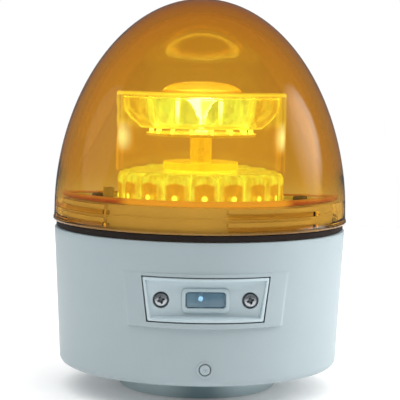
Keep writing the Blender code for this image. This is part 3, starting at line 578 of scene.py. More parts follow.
def build_service_cover():
    rows = [
        cover_ring(0, COVER_BACK_Y),
        cover_ring(0, push=0.25 * MM),
        cover_ring(0.06 * MM, push=0.07 * MM),
        cover_ring(0.22 * MM),
        cover_ring(COVER_RIM - 0.2 * MM),
        cover_ring(COVER_RIM - 0.06 * MM, push=0.06 * MM),
        cover_ring(COVER_RIM, push=0.22 * MM),
        cover_ring(COVER_RIM + 0.35 * MM, COVER_FACE_Y - 0.35 * MM),
        cover_ring(COVER_RIM + 0.45 * MM, COVER_FACE_Y - 0.08 * MM),
        cover_ring(COVER_RIM + 0.7 * MM, COVER_FACE_Y),
    ]
    cover = skin("service_cover_face", rows, smooth=38.0)
    front = COVER_FACE_Y - 0.7 * MM
    layers = ((front, 0.35 * MM), (front + 0.1 * MM, 0.1 * MM), (front + 0.35 * MM, 0))
    layers += ((COVER_FACE_Y + 1 * MM, 0),)
    bezel = upright_plate("bezel", (18.1 * MM, 9.4 * MM), 1.8 * MM, layers, (0, PANEL_Z - 0.2 * MM))
    join(cover, bezel, 35.0)
    layers = ((-60 * MM, -0.9 * MM), (front - 0.05 * MM, -0.35 * MM), (front + 0.45 * MM, 0))
    layers += ((-45 * MM, 0),)
    cut(cover, upright_plate("opening", WINDOW_SIZE, 1.2 * MM, layers, (0, PANEL_Z)), 35.0)
    for x in (-SCREW_X, SCREW_X):
        outline = mm((0, -1), (3.1, -1), (3.1, -0.15), (3.3, 0.05), (3.3, 2.2), (0, 2.2))
        cut(cover, front_tool(outline, 64, x, COVER_FACE_Y, PANEL_Z), 35.0)
        cut(cover, front_peg(1.5 * MM, -6 * MM, 3 * MM, 32, x, COVER_FACE_Y, PANEL_Z), 35.0)
    return cover


def build_screw(name, head_r, head_high, shank_r, size):
    """A pan-head screw with a cross recess: its head's underside is at the origin."""
    outline = [(0, -size), (shank_r * 0.5, -size), (shank_r, -size + shank_r), (shank_r, 0)]
    outline += [(head_r - 0.08 * MM, 0), (head_r, 0.1 * MM), (head_r, head_high * 0.5)]
    outline += arc((head_r - head_high * 0.42, head_high * 0.5), head_high * 0.42, 10, 80, 6)
    outline += [(head_r * 0.45, head_high * 0.97), (0, head_high * 0.99)]
    item = lathe(name, outline, 64, smooth=40.0)
    arm, half = head_r * 0.62, head_r * 0.15
    rows = []
    for z, share in ((head_high * 0.3, 0.45), (head_high * 0.98, 0.96), (head_high * 1.4, 1.2)):
        loop = []
        for quarter in range(4):
            spin = Matrix.Rotation(quarter * pi / 2 + 0.35, 3, "Z")
            for x, y in ((half, -half), (arm * share, -half * share), (arm * share, half * share)):
                loop.append(spin @ Vector((x, y, z)))
        rows.append(loop)
    cut(item, skin("recess", rows), 40.0)
    # The dish and the cross recess take the second material; on the cover screws that is a darker steel,
    # painted shade.
    for face in item.data.polygons:
        inside = Vector(face.center[:2]).length < head_r * 0.6 and face.center.z > head_high * 0.2
        face.material_index = 1 if inside else 0
    return item


def build_window():
    size = tuple(side - 2 * GAP for side in WINDOW_SIZE)
    front, back = COVER_FACE_Y - GAP, COVER_BACK_Y + GAP
    layers = ((front, 0.25 * MM), (front + 0.06 * MM, 0.08 * MM), (front + 0.25 * MM, 0))
    layers += ((back + 0.5 * MM, 0),)
    plate = upright_plate("sensor_window_pane", size, 0.9 * MM, layers, (0, PANEL_Z))
    lo = (-8.75 * MM, back, PANEL_Z - 4.25 * MM)
    hi = (8.75 * MM, back + 1 * MM, PANEL_Z + 4.25 * MM)
    join(plate, box_piece("flange", lo, hi, 0.1 * MM, 2), 35.0)
    return plate


def build_button():
    """A push button with a shallow dimple in its face, a flange behind the wall and a stem."""
    lo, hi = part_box("power_button")
    flange = taper_r(BUTTON_Z) - WALL - 0.35 * MM
    front = -lo.y
    outline = [(0, -hi.y), (1.2 * MM, -hi.y), (1.2 * MM, flange - 0.8 * MM)]
    outline += [(2.9 * MM, flange - 0.8 * MM), (2.9 * MM, flange), (BUTTON_R, flange)]
    outline += arc((BUTTON_R - 0.3 * MM, front - 0.3 * MM), 0.3 * MM, 0, 90, 5)
    outline += mm((1.0, 0), *((1.0 - 0.2 * k, -0.0216 * k * k) for k in range(1, 5)), (0, -0.36), z=front)
    item = lathe("power_button_cap", outline, 64, smooth=40.0)
    return facing_front(item, 0, 0, BUTTON_Z)


# ---------------- collar, deck and dome

COLLAR_R = 54.3 * MM
COLLAR_LUG_R = 55.9 * MM
SPIGOT_R = 56.0 * MM
LUG_MIDDLES = [27.5 + 90 * i for i in range(4)]  # degrees from the front
LUG_HALF = 19.5
LUG_HEIGHT = 1.6 * MM
LUG_SLOPE = 0.14 * MM
STOP_AT = 21.1  # degrees past a lug's middle
DOME_R = 59.2 * MM
DOME_RIM_R = 59.6 * MM
DOME_LUG_R = 55.3 * MM
DOME_INNER_R = DOME_R - WALL
DOME_SHOULDER = up(8.0)
DOME_THICK_SIDE = 3.6 * MM
DOME_THICK_CROWN = 4.8 * MM
DECK_TOP = up(12.7)
DECK_BOTTOM = up(10.6)


def in_sectors(a, shift, half):
    """Whether an angle lies within half of any lug's middle, shifted."""
    return any(abs((a - m - shift + 180) % 360 - 180) <= half + 0.001 for m in LUG_MIDDLES)


def lug_angles():
    edges = (-LUG_HALF, -LUG_HALF - 0.25, LUG_HALF, LUG_HALF + 0.25, 20.5, 20.3, 21.7, 21.9)
    return even_angles(180, [centre + edge for centre in LUG_MIDDLES for edge in edges])


def collar_with_lugs(a):
    return COLLAR_LUG_R if in_sectors(a, 0, LUG_HALF) else COLLAR_R


def collar_groove(a):
    return COLLAR_R if in_sectors(a, 0, LUG_HALF + 3.5) else COLLAR_R - 0.45 * MM


def build_deck():
    inner, bottom = COLLAR_R - 2.2 * MM, low("collar_deck").z
    outline = [(inner, bottom), (SPIGOT_R - 0.6 * MM, bottom), (SPIGOT_R, bottom + 0.6 * MM)]
    outline += [(SPIGOT_R, up(-0.8)), (SPIGOT_R - 0.2 * MM, up(-0.6))]
    outline += [(COLLAR_R, up(-0.6))]
    for start in (up(5.6), up(10.6)):
        end = start + LUG_HEIGHT
        outline += [(COLLAR_R, start - LUG_SLOPE), (collar_with_lugs, start)]
        outline += [(collar_with_lugs, end), (COLLAR_R, end + LUG_SLOPE)]
        if start < DECK_BOTTOM - 1 * MM:
            groove = up(8.3)
            outline += [(COLLAR_R, groove), (collar_groove, groove + 0.15 * MM)]
            outline += [(collar_groove, groove + 0.55 * MM), (COLLAR_R, groove + 0.7 * MM)]
    rim_r, rim_top = 53.5 * MM, up(14.2)
    outline += [(COLLAR_R, up(12.65)), (COLLAR_R - 0.15 * MM, up(12.8))]
    outline += [(rim_r, up(12.8)), (rim_r, rim_top - 0.25 * MM), (rim_r - 0.25 * MM, rim_top)]
    outline += [(inner - 0.15 * MM, rim_top), (inner - 0.4 * MM, rim_top - 0.25 * MM)]
    outline += [(inner - 0.4 * MM, DECK_TOP + 0.4 * MM), (inner - 0.8 * MM, DECK_TOP)]
    outline += mm((39.0, 0), (38.8, 0.25), (38.0, 0.25), (37.8, 0), (3.4, 0), (3.2, -0.2), z=DECK_TOP)
    outline += [(3.2 * MM, DECK_BOTTOM), (inner, DECK_BOTTOM)]
    deck = skin("collar_and_deck", turned_rows(outline, lug_angles()), wrap=True, smooth=32.0)
    board = high("main_board").z
    for side in (-1, 1):
        cut(deck, turned_tool(mm((0, 7), (1.8, 7), (1.8, 16), (0, 16), z=SEAM), 32, side * BOSS_X))
        outline = [(0, board - 2.8 * MM), (1.1 * MM, board - 2.8 * MM), (1.1 * MM, board + GAP)]
        outline += [(2.6 * MM, board + GAP), (2.6 * MM, up(11.6)), (0, up(11.6))]
        join(deck, turned_tool(outline, 32, side * 20 * MM, -side * 14 * MM))
    knob = middle("mode_knob")
    lo = (knob.x - 1.4 * MM, knob.y - 5.7 * MM, up(9))
    hi = (knob.x + 1.4 * MM, knob.y + 1.7 * MM, up(14))
    cut(deck, box_piece("slot", lo, hi))
    return deck


def build_red_seal():
    section = arc((54.9 * MM, middle("collar_ring_seal").z), 1.1 * MM, 0, 350, 20)
    return lathe("red_ring_seal", section, 180, smooth=80)


def build_rim_seal():
    lo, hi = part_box("dome_seal")
    inner = 55.5 * MM
    outline = [(inner, lo.z), (hi.x, lo.z), (hi.x, hi.z), (inner, hi.z)]
    return lathe("rim_seal", soften(outline, 0.35 * MM), 180)


def dome_curve(radius, height, steps):
    """An egg-shaped quarter outline from the shoulder up to the axis."""
    made = []
    for i in range(steps + 1):
        a = pi / 2 * i / steps
        made.append((radius * cos(a) if i < steps else 0.0, DOME_SHOULDER + height * sin(a) ** (2 / 1.9)))
    return made


def dome_with_lugs(a):
    lug_here = in_sectors(a, STOP_AT, 0.6) or in_sectors(a, 0, LUG_HALF)
    return DOME_LUG_R if lug_here else DOME_INNER_R


def dome_inside(height):
    """From the crown down: the wall is thick at the crown and thins out above the lugs."""
    blend_start = up(13.2)
    thin_curve = dome_curve(DOME_INNER_R, height - WALL, 50)[::-1]
    thick_curve = dome_curve(DOME_R - DOME_THICK_SIDE, height - DOME_THICK_CROWN, 50)[::-1]
    made = []
    for thin, thick in zip(thin_curve, thick_curve):
        if thin[1] > blend_start:
            share = min(1.0, (thin[1] - blend_start) / (15 * MM))
            share = share * share * (3 - 2 * share)
            made.append(tuple(a + (b - a) * share for a, b in zip(thin, thick)))
    made += [(DOME_INNER_R, up(12.34)), (DOME_INNER_R, up(12.2))]
    for start in (up(8.7), up(3.7)):
        end = start + LUG_HEIGHT
        made += [(DOME_INNER_R, end + LUG_SLOPE), (dome_with_lugs, end)]
        made += [(dome_with_lugs, start), (DOME_INNER_R, start - LUG_SLOPE)]
    return made


def build_dome():
    bottom = low("dome").z
    height = high("dome").z - DOME_SHOULDER
    outline = [(DOME_INNER_R, bottom)]
    rim = ((-0.3, 0), (-0.08, 0.08), (0, 0.3), (0, 0.9), (-0.08, 1.2), (-0.25, 1.5))
    outline += [(DOME_RIM_R + r * MM, bottom + z * MM) for r, z in rim]
    outline += [(DOME_R + 0.05 * MM, bottom + 2.6 * MM)]
    outline += dome_curve(DOME_R, height, 56) + dome_inside(height)
    return skin("amber_dome", turned_rows(outline, lug_angles()), wrap=True, smooth=32.0)


# ---------------- lamp unit

LOBES = 18
LOBE_DEPTH = 2.8 * MM
LENS_LOW, LENS_HIGH = low("lower_lens").z, high("lower_lens").z
LOBE_TIP = high("lower_lens").x
BOWL_LOW, BOWL_HIGH = low("upper_lens").z, high("upper_lens").z
WELL_R = 20.9 * MM
SHADE_TOP = up(54.8)
SHADE_WALL = 1.6 * MM
CAP_R = 16.0 * MM


def lobe_swell(a):
    share = ((a * LOBES / 360 + 0.5) % 1) * 2 - 1
    return sqrt(max(0.0, 1 - share * share))


def build_lower_lens():
    """A hollow ring lens whose flutes are round outside, with arched tops."""
    per_lobe = 12
    fan = []
    for lobe in range(LOBES):
        for k in range(per_lobe):
            share = -cos(pi * k / per_lobe)
            fan.append(((lobe + share / 2) * 360 / LOBES) % 360)
    fan = sorted(fan)

    def crown(a):
        return LENS_HIGH - 1.5 * MM - (1 - lobe_swell(a)) * 2.4 * MM

    def lobe_ring(inset, lift, share=1):
        row = []
        for a in fan:
            r = LOBE_TIP - LOBE_DEPTH + LOBE_DEPTH * lobe_swell(a) - inset
            z = LENS_LOW + (crown(a) - LENS_LOW) * share + lift
            row.append(around(r, a, min(z, LENS_HIGH)))
        return row

    bore, hole = 30.2 * MM, 4.7 * MM
    rows = [ring(bore, LENS_LOW, fan)]
    rows += [lobe_ring(0, 0, share) for share in (0, 0.2, 0.45, 0.7, 0.9)]
    for inset, lift in ((0.0, 0.0), (0.12, 0.5), (0.45, 0.95), (1.0, 1.3), (1.7, 1.5)):
        rows.append(lobe_ring(inset * MM, lift * MM))
    rows += [ring(28.4 * MM, LENS_HIGH, fan), ring(hole, LENS_HIGH, fan)]
    rows += [ring(hole, LENS_HIGH - 2 * MM, fan), ring(bore - 1.2 * MM, LENS_HIGH - 2 * MM, fan)]
    rows += [ring(bore, LENS_HIGH - 3 * MM, fan)]
    return skin("fluted_lens", rows, wrap=True, smooth=50.0)


def bowl_outline(floor):
    """The bowl's rounded outside with four faint steps, its well, and the funnel in the well."""
    steps = 24
    outline = [(0, BOWL_LOW), (24.2 * MM, BOWL_LOW)]
    for i in range(steps + 1):
        share = i / steps
        swell = sin(min(1.0, share * 1.3) * pi / 2)
        ledge = 0.12 * MM * ((share * 4) % 1) if i < steps else 0
        outline.append(((24.8 + 7.0 * swell) * MM - ledge, BOWL_LOW + (BOWL_HIGH - BOWL_LOW) * share))
    outline += [(WELL_R, BOWL_HIGH), (20.4 * MM, BOWL_HIGH - 0.5 * MM)]
    outline += mm((19.4, 4), (18.2, 1.0), (17.3, 0), (1.2, 0), (0.6, 2.4), z=floor)
    outline += mm((7.4, -0.4), (6.4, -0.4), z=BOWL_HIGH)
    return outline + mm((0.4, 3.4), (0, 3.2), z=floor)


def build_bowl():
    floor = BOWL_LOW + 2.8 * MM
    bowl = lathe("bowl_lens", bowl_outline(floor), 160, smooth=25.0)
    # Three thin pins in the well carry the painted slits of reflected light.
    for a, reach in ((-83.0, 9.8), (52.0, 9.3), (168.0, 9.5)):
        outline = mm((0, -0.4), (0.45, -0.4), z=floor) + mm((0.85, -2.2), (0, -1.8), z=BOWL_HIGH)
        join(bowl, turned_tool(outline, 16, *around(reach * MM, a, 0)), 25.0)
    plate_low, plate_high = BOWL_LOW - 3.2 * MM, BOWL_LOW - 2.2 * MM
    outline = mm((9.6, 0), (22.0, 0), (22.4, 0.4), (22.4, 1.0), (9.6, 1.0), z=plate_low)
    join(bowl, lathe("plate", outline, 120), 25.0)
    # The beads under the bowl carry painted bright dots of light.
    beads = 16
    for i in range(beads):
        outline = mm((0, 0.4), (0.5, 0.4), (0.8, 1.9), (0.5, 3.5), (0, 3.5), z=plate_low)
        join(bowl, turned_tool(outline, 20, *around(20.6 * MM, 9 + 360 / beads * i, 0)), 25.0)
    for face in bowl.data.polygons:
        face.material_index = bowl_part(face, floor, plate_high)
    return bowl


def bowl_part(face, floor, plate_high):
    """Which of BOWL_LOOKS a face of the bowl takes."""
    r, z = Vector(face.center[:2]).length, face.center.z
    sliver = 0.05 * MM
    if r < 7.6 * MM and z > floor + sliver:
        return 2
    if r < 12 * MM and z > floor + sliver:
        return 6
    if plate_high + sliver < z < BOWL_LOW - sliver:
        return 3
    if z < BOWL_LOW - sliver:
        return 4
    if z > BOWL_HIGH - 0.1 * MM and r > WELL_R and face.normal.z > 0.9:
        return 5
    if r < WELL_R + sliver and z > floor - sliver and face.normal.z < 0.99:
        return 1
    return 0


def build_shade():
    """A clear cylinder with a rounded top edge and a low cap."""
    lo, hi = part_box("lens_shade")
    outer, inner = hi.x, hi.x - SHADE_WALL
    outline = [(inner, lo.z), (outer, lo.z), (outer, SHADE_TOP - 0.9 * MM)]
    outline += arc((outer - 0.8 * MM, SHADE_TOP - 0.8 * MM), 0.8 * MM, 0, 90, 6)
    outline += [(CAP_R + 1.0 * MM, SHADE_TOP), (CAP_R + 0.2 * MM, SHADE_TOP + 0.1 * MM)]
    steps = 16
    for i in range(1, steps + 1):
        t = pi / 2 * i / steps
        r = CAP_R * cos(t) if i < steps else 0
        outline.append((r, SHADE_TOP + (hi.z - SHADE_TOP) * sin(t)))
    outline += [(0, SHADE_TOP - 1.4 * MM), (inner, SHADE_TOP - 1.4 * MM)]
    return lathe("clear_shade", outline, 144, smooth=32.0)


def build_post():
    lo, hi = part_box("led_post")
    bore = 2.6 * MM
    flute = 0.35 * MM

    def fluted(a):
        return hi.x - flute * (0.5 - 0.5 * cos(radians(a * 8)))

    outline = [(bore, lo.z), (hi.x, lo.z), (fluted, lo.z + 0.3 * MM), (fluted, hi.z - 0.3 * MM)]
    outline += [(hi.x - flute, hi.z), (bore, hi.z)]
    return skin("light_post", turned_rows(outline, even_angles(96)), wrap=True)


def build_disc():
    lo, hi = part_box("platform_disc")
    hole = 4.7 * MM
    outline = [(hole, lo.z), (hi.x, lo.z), (hi.x, hi.z), (hole, hi.z)]
    return lathe("lamp_disc", soften(outline, 0.6 * MM), 96)


def build_knob():
    lo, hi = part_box("mode_knob")
    base = up(13.0)
    block = box_piece("mode_knob_cap", (lo.x, lo.y, base), (hi.x, hi.y, hi.z), 0.6 * MM)
    centre = middle("mode_knob")
    start = (centre.x - 1 * MM, centre.y - 1.2 * MM, lo.z)
    end = (centre.x + 1 * MM, centre.y + 1.2 * MM, base + 2 * MM)
    join(block, box_piece("stem", start, end), 40.0)
    for k in (-1, 0, 1):
        y = centre.y + k * 1.2 * MM
        start = (lo.x - 1 * MM, y - 0.2 * MM, hi.z - 0.35 * MM)
        end = (hi.x + 1 * MM, y + 0.2 * MM, hi.z + 1 * MM)
        cut(block, box_piece("groove", start, end), 40.0)
    return block


# ---------------- magnet foot


def build_cup():
    lo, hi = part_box("magnet_cup")
    rim_r, hole = 31.4 * MM, 2.8 * MM
    shoulder = hi.z - 1.6 * MM
    outline = [(hole, hi.z), (hi.x, hi.z), (hi.x, shoulder - 2 * MM)]
    outline += [(rim_r + 0.7 * MM, 1.4 * MM), (rim_r, lo.z), (28.3 * MM, lo.z), (28.3 * MM, 2 * MM)]
    outline += [(30.6 * MM, 4.5 * MM), (30.6 * MM, shoulder), (hole, shoulder)]
    return lathe("magnet_foot_cup", soften(outline, 0.7 * MM, 5), 160)


def build_pad():
    """The rubber face, with three shallow grooves round it."""
    lo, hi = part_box("magnet_pad")
    outline = [(0, lo.z), (9 * MM, lo.z)]
    for r in (9.0, 15.0, 21.0):
        outline += mm((r + 0.1, 0.25), (r + 0.9, 0.25), (r + 1.0, 0), z=lo.z)
    outline += [(hi.x - 0.2 * MM, lo.z), (hi.x, lo.z + 0.2 * MM), (hi.x, hi.z), (0, hi.z)]
    return lathe("magnet_face_pad", outline, 128)


# ---------------- plain looks

GREY = (0.335, 0.405, 0.43)
PLAIN = (  # name, colour, roughness, grain height in mm, grain scale, mottle, metallic, stretch
    ("grey_shell", GREY, 0.42, 0.012, 2600, 0.025),
    ("grey_cover", tuple(c * 1.4 for c in GREY), 0.38, 0.012, 2600, 0.025),
    ("grey_button", tuple(c * 1.03 for c in GREY), 0.4, 0.012, 2600, 0.025),
    ("deck_plastic", (0.86, 0.82, 0.66), 0.45, 0.02, 1800, 0.05),
    ("black_rubber", (0.012, 0.006, 0.004), 0.9, 0.03, 1400, 0.12),
    ("red_rubber", (0.62, 0.14, 0.05), 0.4, 0.02, 1400, 0.1),
    ("pad_rubber", (0.03, 0.03, 0.032), 0.75, 0.05, 1200, 0.15),
    ("ferrite", (0.05, 0.05, 0.055), 0.6, 0.03, 900, 0.2),
    ("bright_steel", (0.42, 0.44, 0.46), 0.3, 0.01, 2500, 0.06, 1.0),
    # A darker copy of bright_steel: painted shade in the cover screws' dish and cross recess.
    ("painted_shade_steel", (0.12, 0.14, 0.15), 0.4, 0.01, 2500, 0.1, 0.8),
    ("dark_steel", (0.10, 0.085, 0.06), 0.38, 0.01, 2500, 0.15, 1.0),
    ("plated_cup", (0.36, 0.42, 0.44), 0.17, 0.006, 700, 0.05, 1.0, (1, 1, 14)),
    ("black_plastic", (0.025, 0.025, 0.027), 0.5, 0.02, 1500, 0.1),
    ("tray_plastic", (0.045, 0.045, 0.05), 0.55, 0.03, 1200, 0.1),
    ("red_pvc", (0.5, 0.025, 0.02), 0.4, 0.02, 1500, 0.08),
    ("black_pvc", (0.02, 0.02, 0.02), 0.42, 0.02, 1500, 0.08),
    ("white_pvc", (0.72, 0.72, 0.68), 0.42, 0.02, 1500, 0.05),
    ("capacitor_sleeve", (0.05, 0.06, 0.2), 0.3, 0.01, 1500, 0.1),
    ("white_knob", (0.55, 0.50, 0.36), 0.4, 0.015, 1800, 0.05),
    ("copper_coil", (0.6, 0.25, 0.1), 0.35, 0.15, 60, 0.2, 1.0, (1, 1, 30)),
)
looks = {values[0]: moulded(*values) for values in PLAIN}


def light_up_seal():
    """Painted light from the lamp: a glow along the red seal's top and where it runs in front of the lamp.
    """
    shader = shader_of(looks["red_rubber"])
    turn, _, z = polar(looks["red_rubber"].node_tree)
    centre = middle("collar_ring_seal").z
    lit_top = z.ease(centre - 0.1 * MM, centre + 0.6 * MM, 0.0, 0.18)
    lamp_side = abs(turn).ease(0.105, 0.085, 0.0, 0.55)
    feed(shader["Emission Color"], (1.0, 0.72, 0.08))
    feed(shader["Emission Strength"], lit_top.larger(lamp_side))


def paint_cup_reflections():
    """Painted reflections: soft darker and lighter bands round the plated cup."""
    turn = polar(looks["plated_cup"].node_tree)[0]
    painted_reflection = abs((turn * (4 * pi)).math("SINE")).ease(0.1, 0.95)
    feed(shader_of(looks["plated_cup"])["Base Color"], painted_reflection.mix((0.22, 0.30, 0.32), (0.52, 0.62, 0.64)))


def paint_counterbore_shade():
    """Painted shade: darken the narrow wells round the cover's two screws."""
    tree, base = looks["grey_cover"].node_tree, shader_of(looks["grey_cover"])["Base Color"]
    x, _, z = coordinates(tree)
    share = length(abs(x) - SCREW_X, z - PANEL_Z).ease(2.95 * MM, 3.2 * MM, 1.0, 0.0)
    feed(base, share.mix(Field(tree, base.links[0].from_socket), (0.07, 0.09, 0.10)))


light_up_seal()
paint_cup_reflections()
paint_counterbore_shade()

# ---------------- clear and printed looks


def amber_material():
    """Transparent amber: the colour comes from the thickness that light passes through."""
    made, tree, shader = new_material("amber_dome")
    feed(shader["Base Color"], (1.0, 0.93, 0.80))
    feed(shader["Transmission Weight"], 1.0)
    feed(shader["IOR"], 1.49)
    ripple = noise(tree, 45.0, (1, 1, 0.6), 2.0)
    feed(shader["Roughness"], ripple.ramp(0.3, 0.7, 0.0, 0.035))
    add_bump(tree, shader, ripple, 0.10 * MM, 0.6)
    volume = tree.nodes.new("ShaderNodeVolumeAbsorption")
    feed(volume.inputs["Color"], (0.89, 0.72, 0.10))
    feed(volume.inputs["Density"], 480.0)
    tree.links.new(volume.outputs["Volume"], tree.nodes["Material Output"].inputs["Volume"])
    return made


def window_material():
    made, tree, shader = new_material("window_pane")
    fine = noise(tree, 160.0, (1, 1, 0.3), 2.0)
    feed(shader["Base Color"], fine.ramp(0.35, 0.65).mix((0.24, 0.42, 0.56), (0.32, 0.52, 0.64)))
    feed(shader["Roughness"], fine.ramp(0.3, 0.7, 0.08, 0.14))
    feed(shader["Transmission Weight"], 0.6)
    feed(shader["IOR"], 1.49)
    return made


def sensor_material():
    """A dark sensor body with one small white point of painted light in its middle."""
    made, tree, shader = new_material("sensor_white")
    x, _, z = coordinates(tree)
    centre = middle("light_sensor")
    reach = length(x - centre.x, z - centre.z) + noise(tree, 900.0) * (0.1 * MM)
    share = reach.ease(0.75 * MM, 1.15 * MM, 1.0, 0.0)
    feed(shader["Base Color"], share.mix((0.10, 0.13, 0.15), (0.9, 0.95, 0.95)))
    feed(shader["Emission Color"], share.mix((0.0, 0.0, 0.0), (0.9, 0.97, 1.0)))
    feed(shader["Emission Strength"], 3.5)
    feed(shader["Roughness"], 0.4)
    return made


def board_material(name, ground, track):
    """A circuit board: tracks and pads under a thin lacquer."""
    made, tree, shader = new_material(name)
    cells = tree.nodes.new("ShaderNodeTexBrick")
    feed(cells.inputs["Scale"], 260.0)
    feed(cells.inputs["Mortar Size"], 0.035)
    feed(cells.inputs["Color1"], ground)
    feed(cells.inputs["Color2"], tuple(c * 0.85 for c in ground))
    feed(cells.inputs["Mortar"], track)
    tree.links.new(object_point(tree), cells.inputs["Vector"])
    fine = noise(tree, 900.0)
    copper = Field(tree, cells.outputs["Color"])
    feed(shader["Base Color"], fine.ramp(0.3, 0.7, 0.0, 0.25).mix(copper, track))
    feed(shader["Roughness"], fine.ramp(0.3, 0.7, 0.28, 0.42))
    add_bump(tree, shader, Field(tree, cells.outputs["Fac"]), 0.04 * MM)
    return made


def cell_material():
    """A battery's sleeve: dark with a bronze band at one end."""
    made, tree, shader = new_material("cell_sleeve")
    fine = noise(tree, 300.0)
    band = (coordinates(tree)[0] + fine * (0.2 * MM)).ramp(12.0 * MM, 12.2 * MM)
    feed(shader["Base Color"], band.mix((0.03, 0.03, 0.035), (0.45, 0.22, 0.07)))
    feed(shader["Roughness"], fine.ramp(0.3, 0.7, 0.25, 0.4))
    feed(shader["Metallic"], 0.6)
    return made


# ---------------- lamp looks


def lower_lens_pattern(tree):
    """Painted light on the fluted lens: bright valleys, arched tops and round feet about its orange panels.
    """
    turn, _, z = polar(tree)
    across = abs((turn * LOBES).math("WRAP", 0.5, -0.5))
    arch = across.math("POWER", 2.0) * (-9.0 * MM)
    top = (z - arch).ease(LENS_HIGH - 3.4 * MM, LENS_HIGH - 2.4 * MM)
    edges = across.ease(0.27, 0.40).larger(top)
    foot = length(across * (11.5 * MM), (z - (LENS_LOW + 1.9 * MM)) * 0.8).ease(1.5 * MM, 0.6 * MM)
    cloud = noise(tree, 420.0, (1, 1, 0.3))
    lit = (edges * cloud.ramp(0.3, 0.65, 0.5, 1.15)).larger(foot).math("MINIMUM", 1.0)
    strength = lit.ramp(0.0, 1.0, 0.21, 0.66) + foot * 1.1
    return lit.mix((1.0, 0.66, 0.05), (0.50, 1.0, 0.20)), strength * cloud.ramp(0.3, 0.7, 0.72, 1.25)


def bowl_pattern(tree):
    """Painted light in the bowl's outside: streaks, stronger at its two sides as an edge glow, and a line at
    its foot.
    """
    turn, _, z = polar(tree)
    line = z.ease(BOWL_LOW + 1.1 * MM, BOWL_LOW + 0.5 * MM)
    lit = noise(tree, 190.0, (1, 1, 0.35)).ease(0.46, 0.54).larger(line)
    glow = lit.ramp(0.0, 1.0, 0.08, 0.36) + line * 0.1
    sides = abs(abs(turn) - 0.25).ease(0.12, 0.03) * lit.ramp(0.0, 1.0, 0.12, 0.62)
    return lit.mix((1.0, 0.62, 0.04), (0.62, 1.0, 0.20)), glow + sides


def hot_pattern(tree):
    """Painted light on the funnel: white-hot, greener in one sector at its front, brightest along its top
    edge.
    """
    turn, _, z = polar(tree)
    lit = abs(turn - 0.07).ease(0.05, 0.12).larger(z.ease(BOWL_HIGH - 2.0 * MM, BOWL_HIGH - 0.8 * MM))
    top = z.ramp(BOWL_HIGH - 0.7 * MM, BOWL_HIGH - 0.5 * MM, 0.0, 30.0)
    return lit.mix((0.55, 1.0, 0.15), (0.45, 0.6, 1.0)), lit.ramp(0.0, 1.0, 0.5, 5.0) + top


def slit_pattern(tree):
    """Painted reflections: thin white slits of light that fade towards the floor of the well."""
    glow = polar(tree)[2].ease(BOWL_HIGH - 8.0 * MM, BOWL_HIGH - 4.5 * MM, 0.6, 4.5)
    return lamp_grain(tree).mix((0.5, 0.8, 0.7), (0.5, 0.7, 1.0)), glow


def rim_pattern(tree):
    """Painted light: two thin bright rings on the bowl's flat top, at its outer edge and round the well."""
    reach = polar(tree)[1] + lamp_grain(tree) * (0.1 * MM)
    lit = reach.ease(30.6 * MM, 31.4 * MM).larger(reach.ease(22.6 * MM, 21.6 * MM) * 0.5)
    return lit.mix((1.0, 0.7, 0.05), (0.85, 1.0, 0.3)), lit.ramp(0.0, 1.0, 0.12, 6.0)


def shade_material():
    """Clear plastic with painted light: a bright rim, streaked upper edges, highlight patches and bands at
    its sides, and a glowing cap.
    """
    made, tree, shader = new_material("clear_shade")
    feed(shader["Transmission Weight"], 1.0)
    feed(shader["IOR"], 1.45)
    fine = noise(tree, 120.0, (1, 1, 0.4), 2.0)
    feed(shader["Base Color"], fine.ramp(0.3, 0.7).mix((0.99, 0.95, 0.80), (1.0, 0.98, 0.88)))
    feed(shader["Roughness"], fine.ramp(0.3, 0.7, 0.01, 0.06))
    turn, reach, z = polar(tree)
    outer = high("lens_shade").x
    wall = z.ease(BOWL_LOW - 1.0 * MM, BOWL_LOW + 2.0 * MM) * reach.ease(outer - 6.0 * MM, outer - 2.0 * MM)
    rim = z.ease(SHADE_TOP - 1.7 * MM, SHADE_TOP - 1.0 * MM) * reach.ease(outer - 6.0 * MM, outer - 2.0 * MM)
    cap = z.ease(SHADE_TOP + 4.5 * MM, SHADE_TOP + 0.3 * MM, 0.0, 0.36)
    cap = cap * reach.ramp(CAP_R + 0.5 * MM, CAP_R - 0.5 * MM)
    # Painted highlights: bands at the flanks and soft pale patches on the wall; the rim, the streaked upper
    # wall and the cap carry painted glow.
    flank = abs(abs(turn) - 0.25).ease(0.045, 0.02)
    patch = abs(abs(turn) - 0.190).ease(0.05, 0.0) * abs(z - (BOWL_LOW - 3.4 * MM)).ease(8.0 * MM, 0.0)
    glow = wall * noise(tree, 210.0, (1, 1, 0.3)).ease(0.40, 0.60, 0.25, 1.0) * 0.11 + 0.025
    glow = glow + rim * 0.45 + patch * 0.75 + flank * 0.16 + cap
    warm = wall.larger(rim).mix((1.0, 0.60, 0.06), (0.86, 1.0, 0.18))
    feed(shader["Emission Color"], patch.ramp(0.0, 0.35).mix(warm, (0.50, 0.78, 1.0)))
    feed(shader["Emission Strength"], glow)
    return made


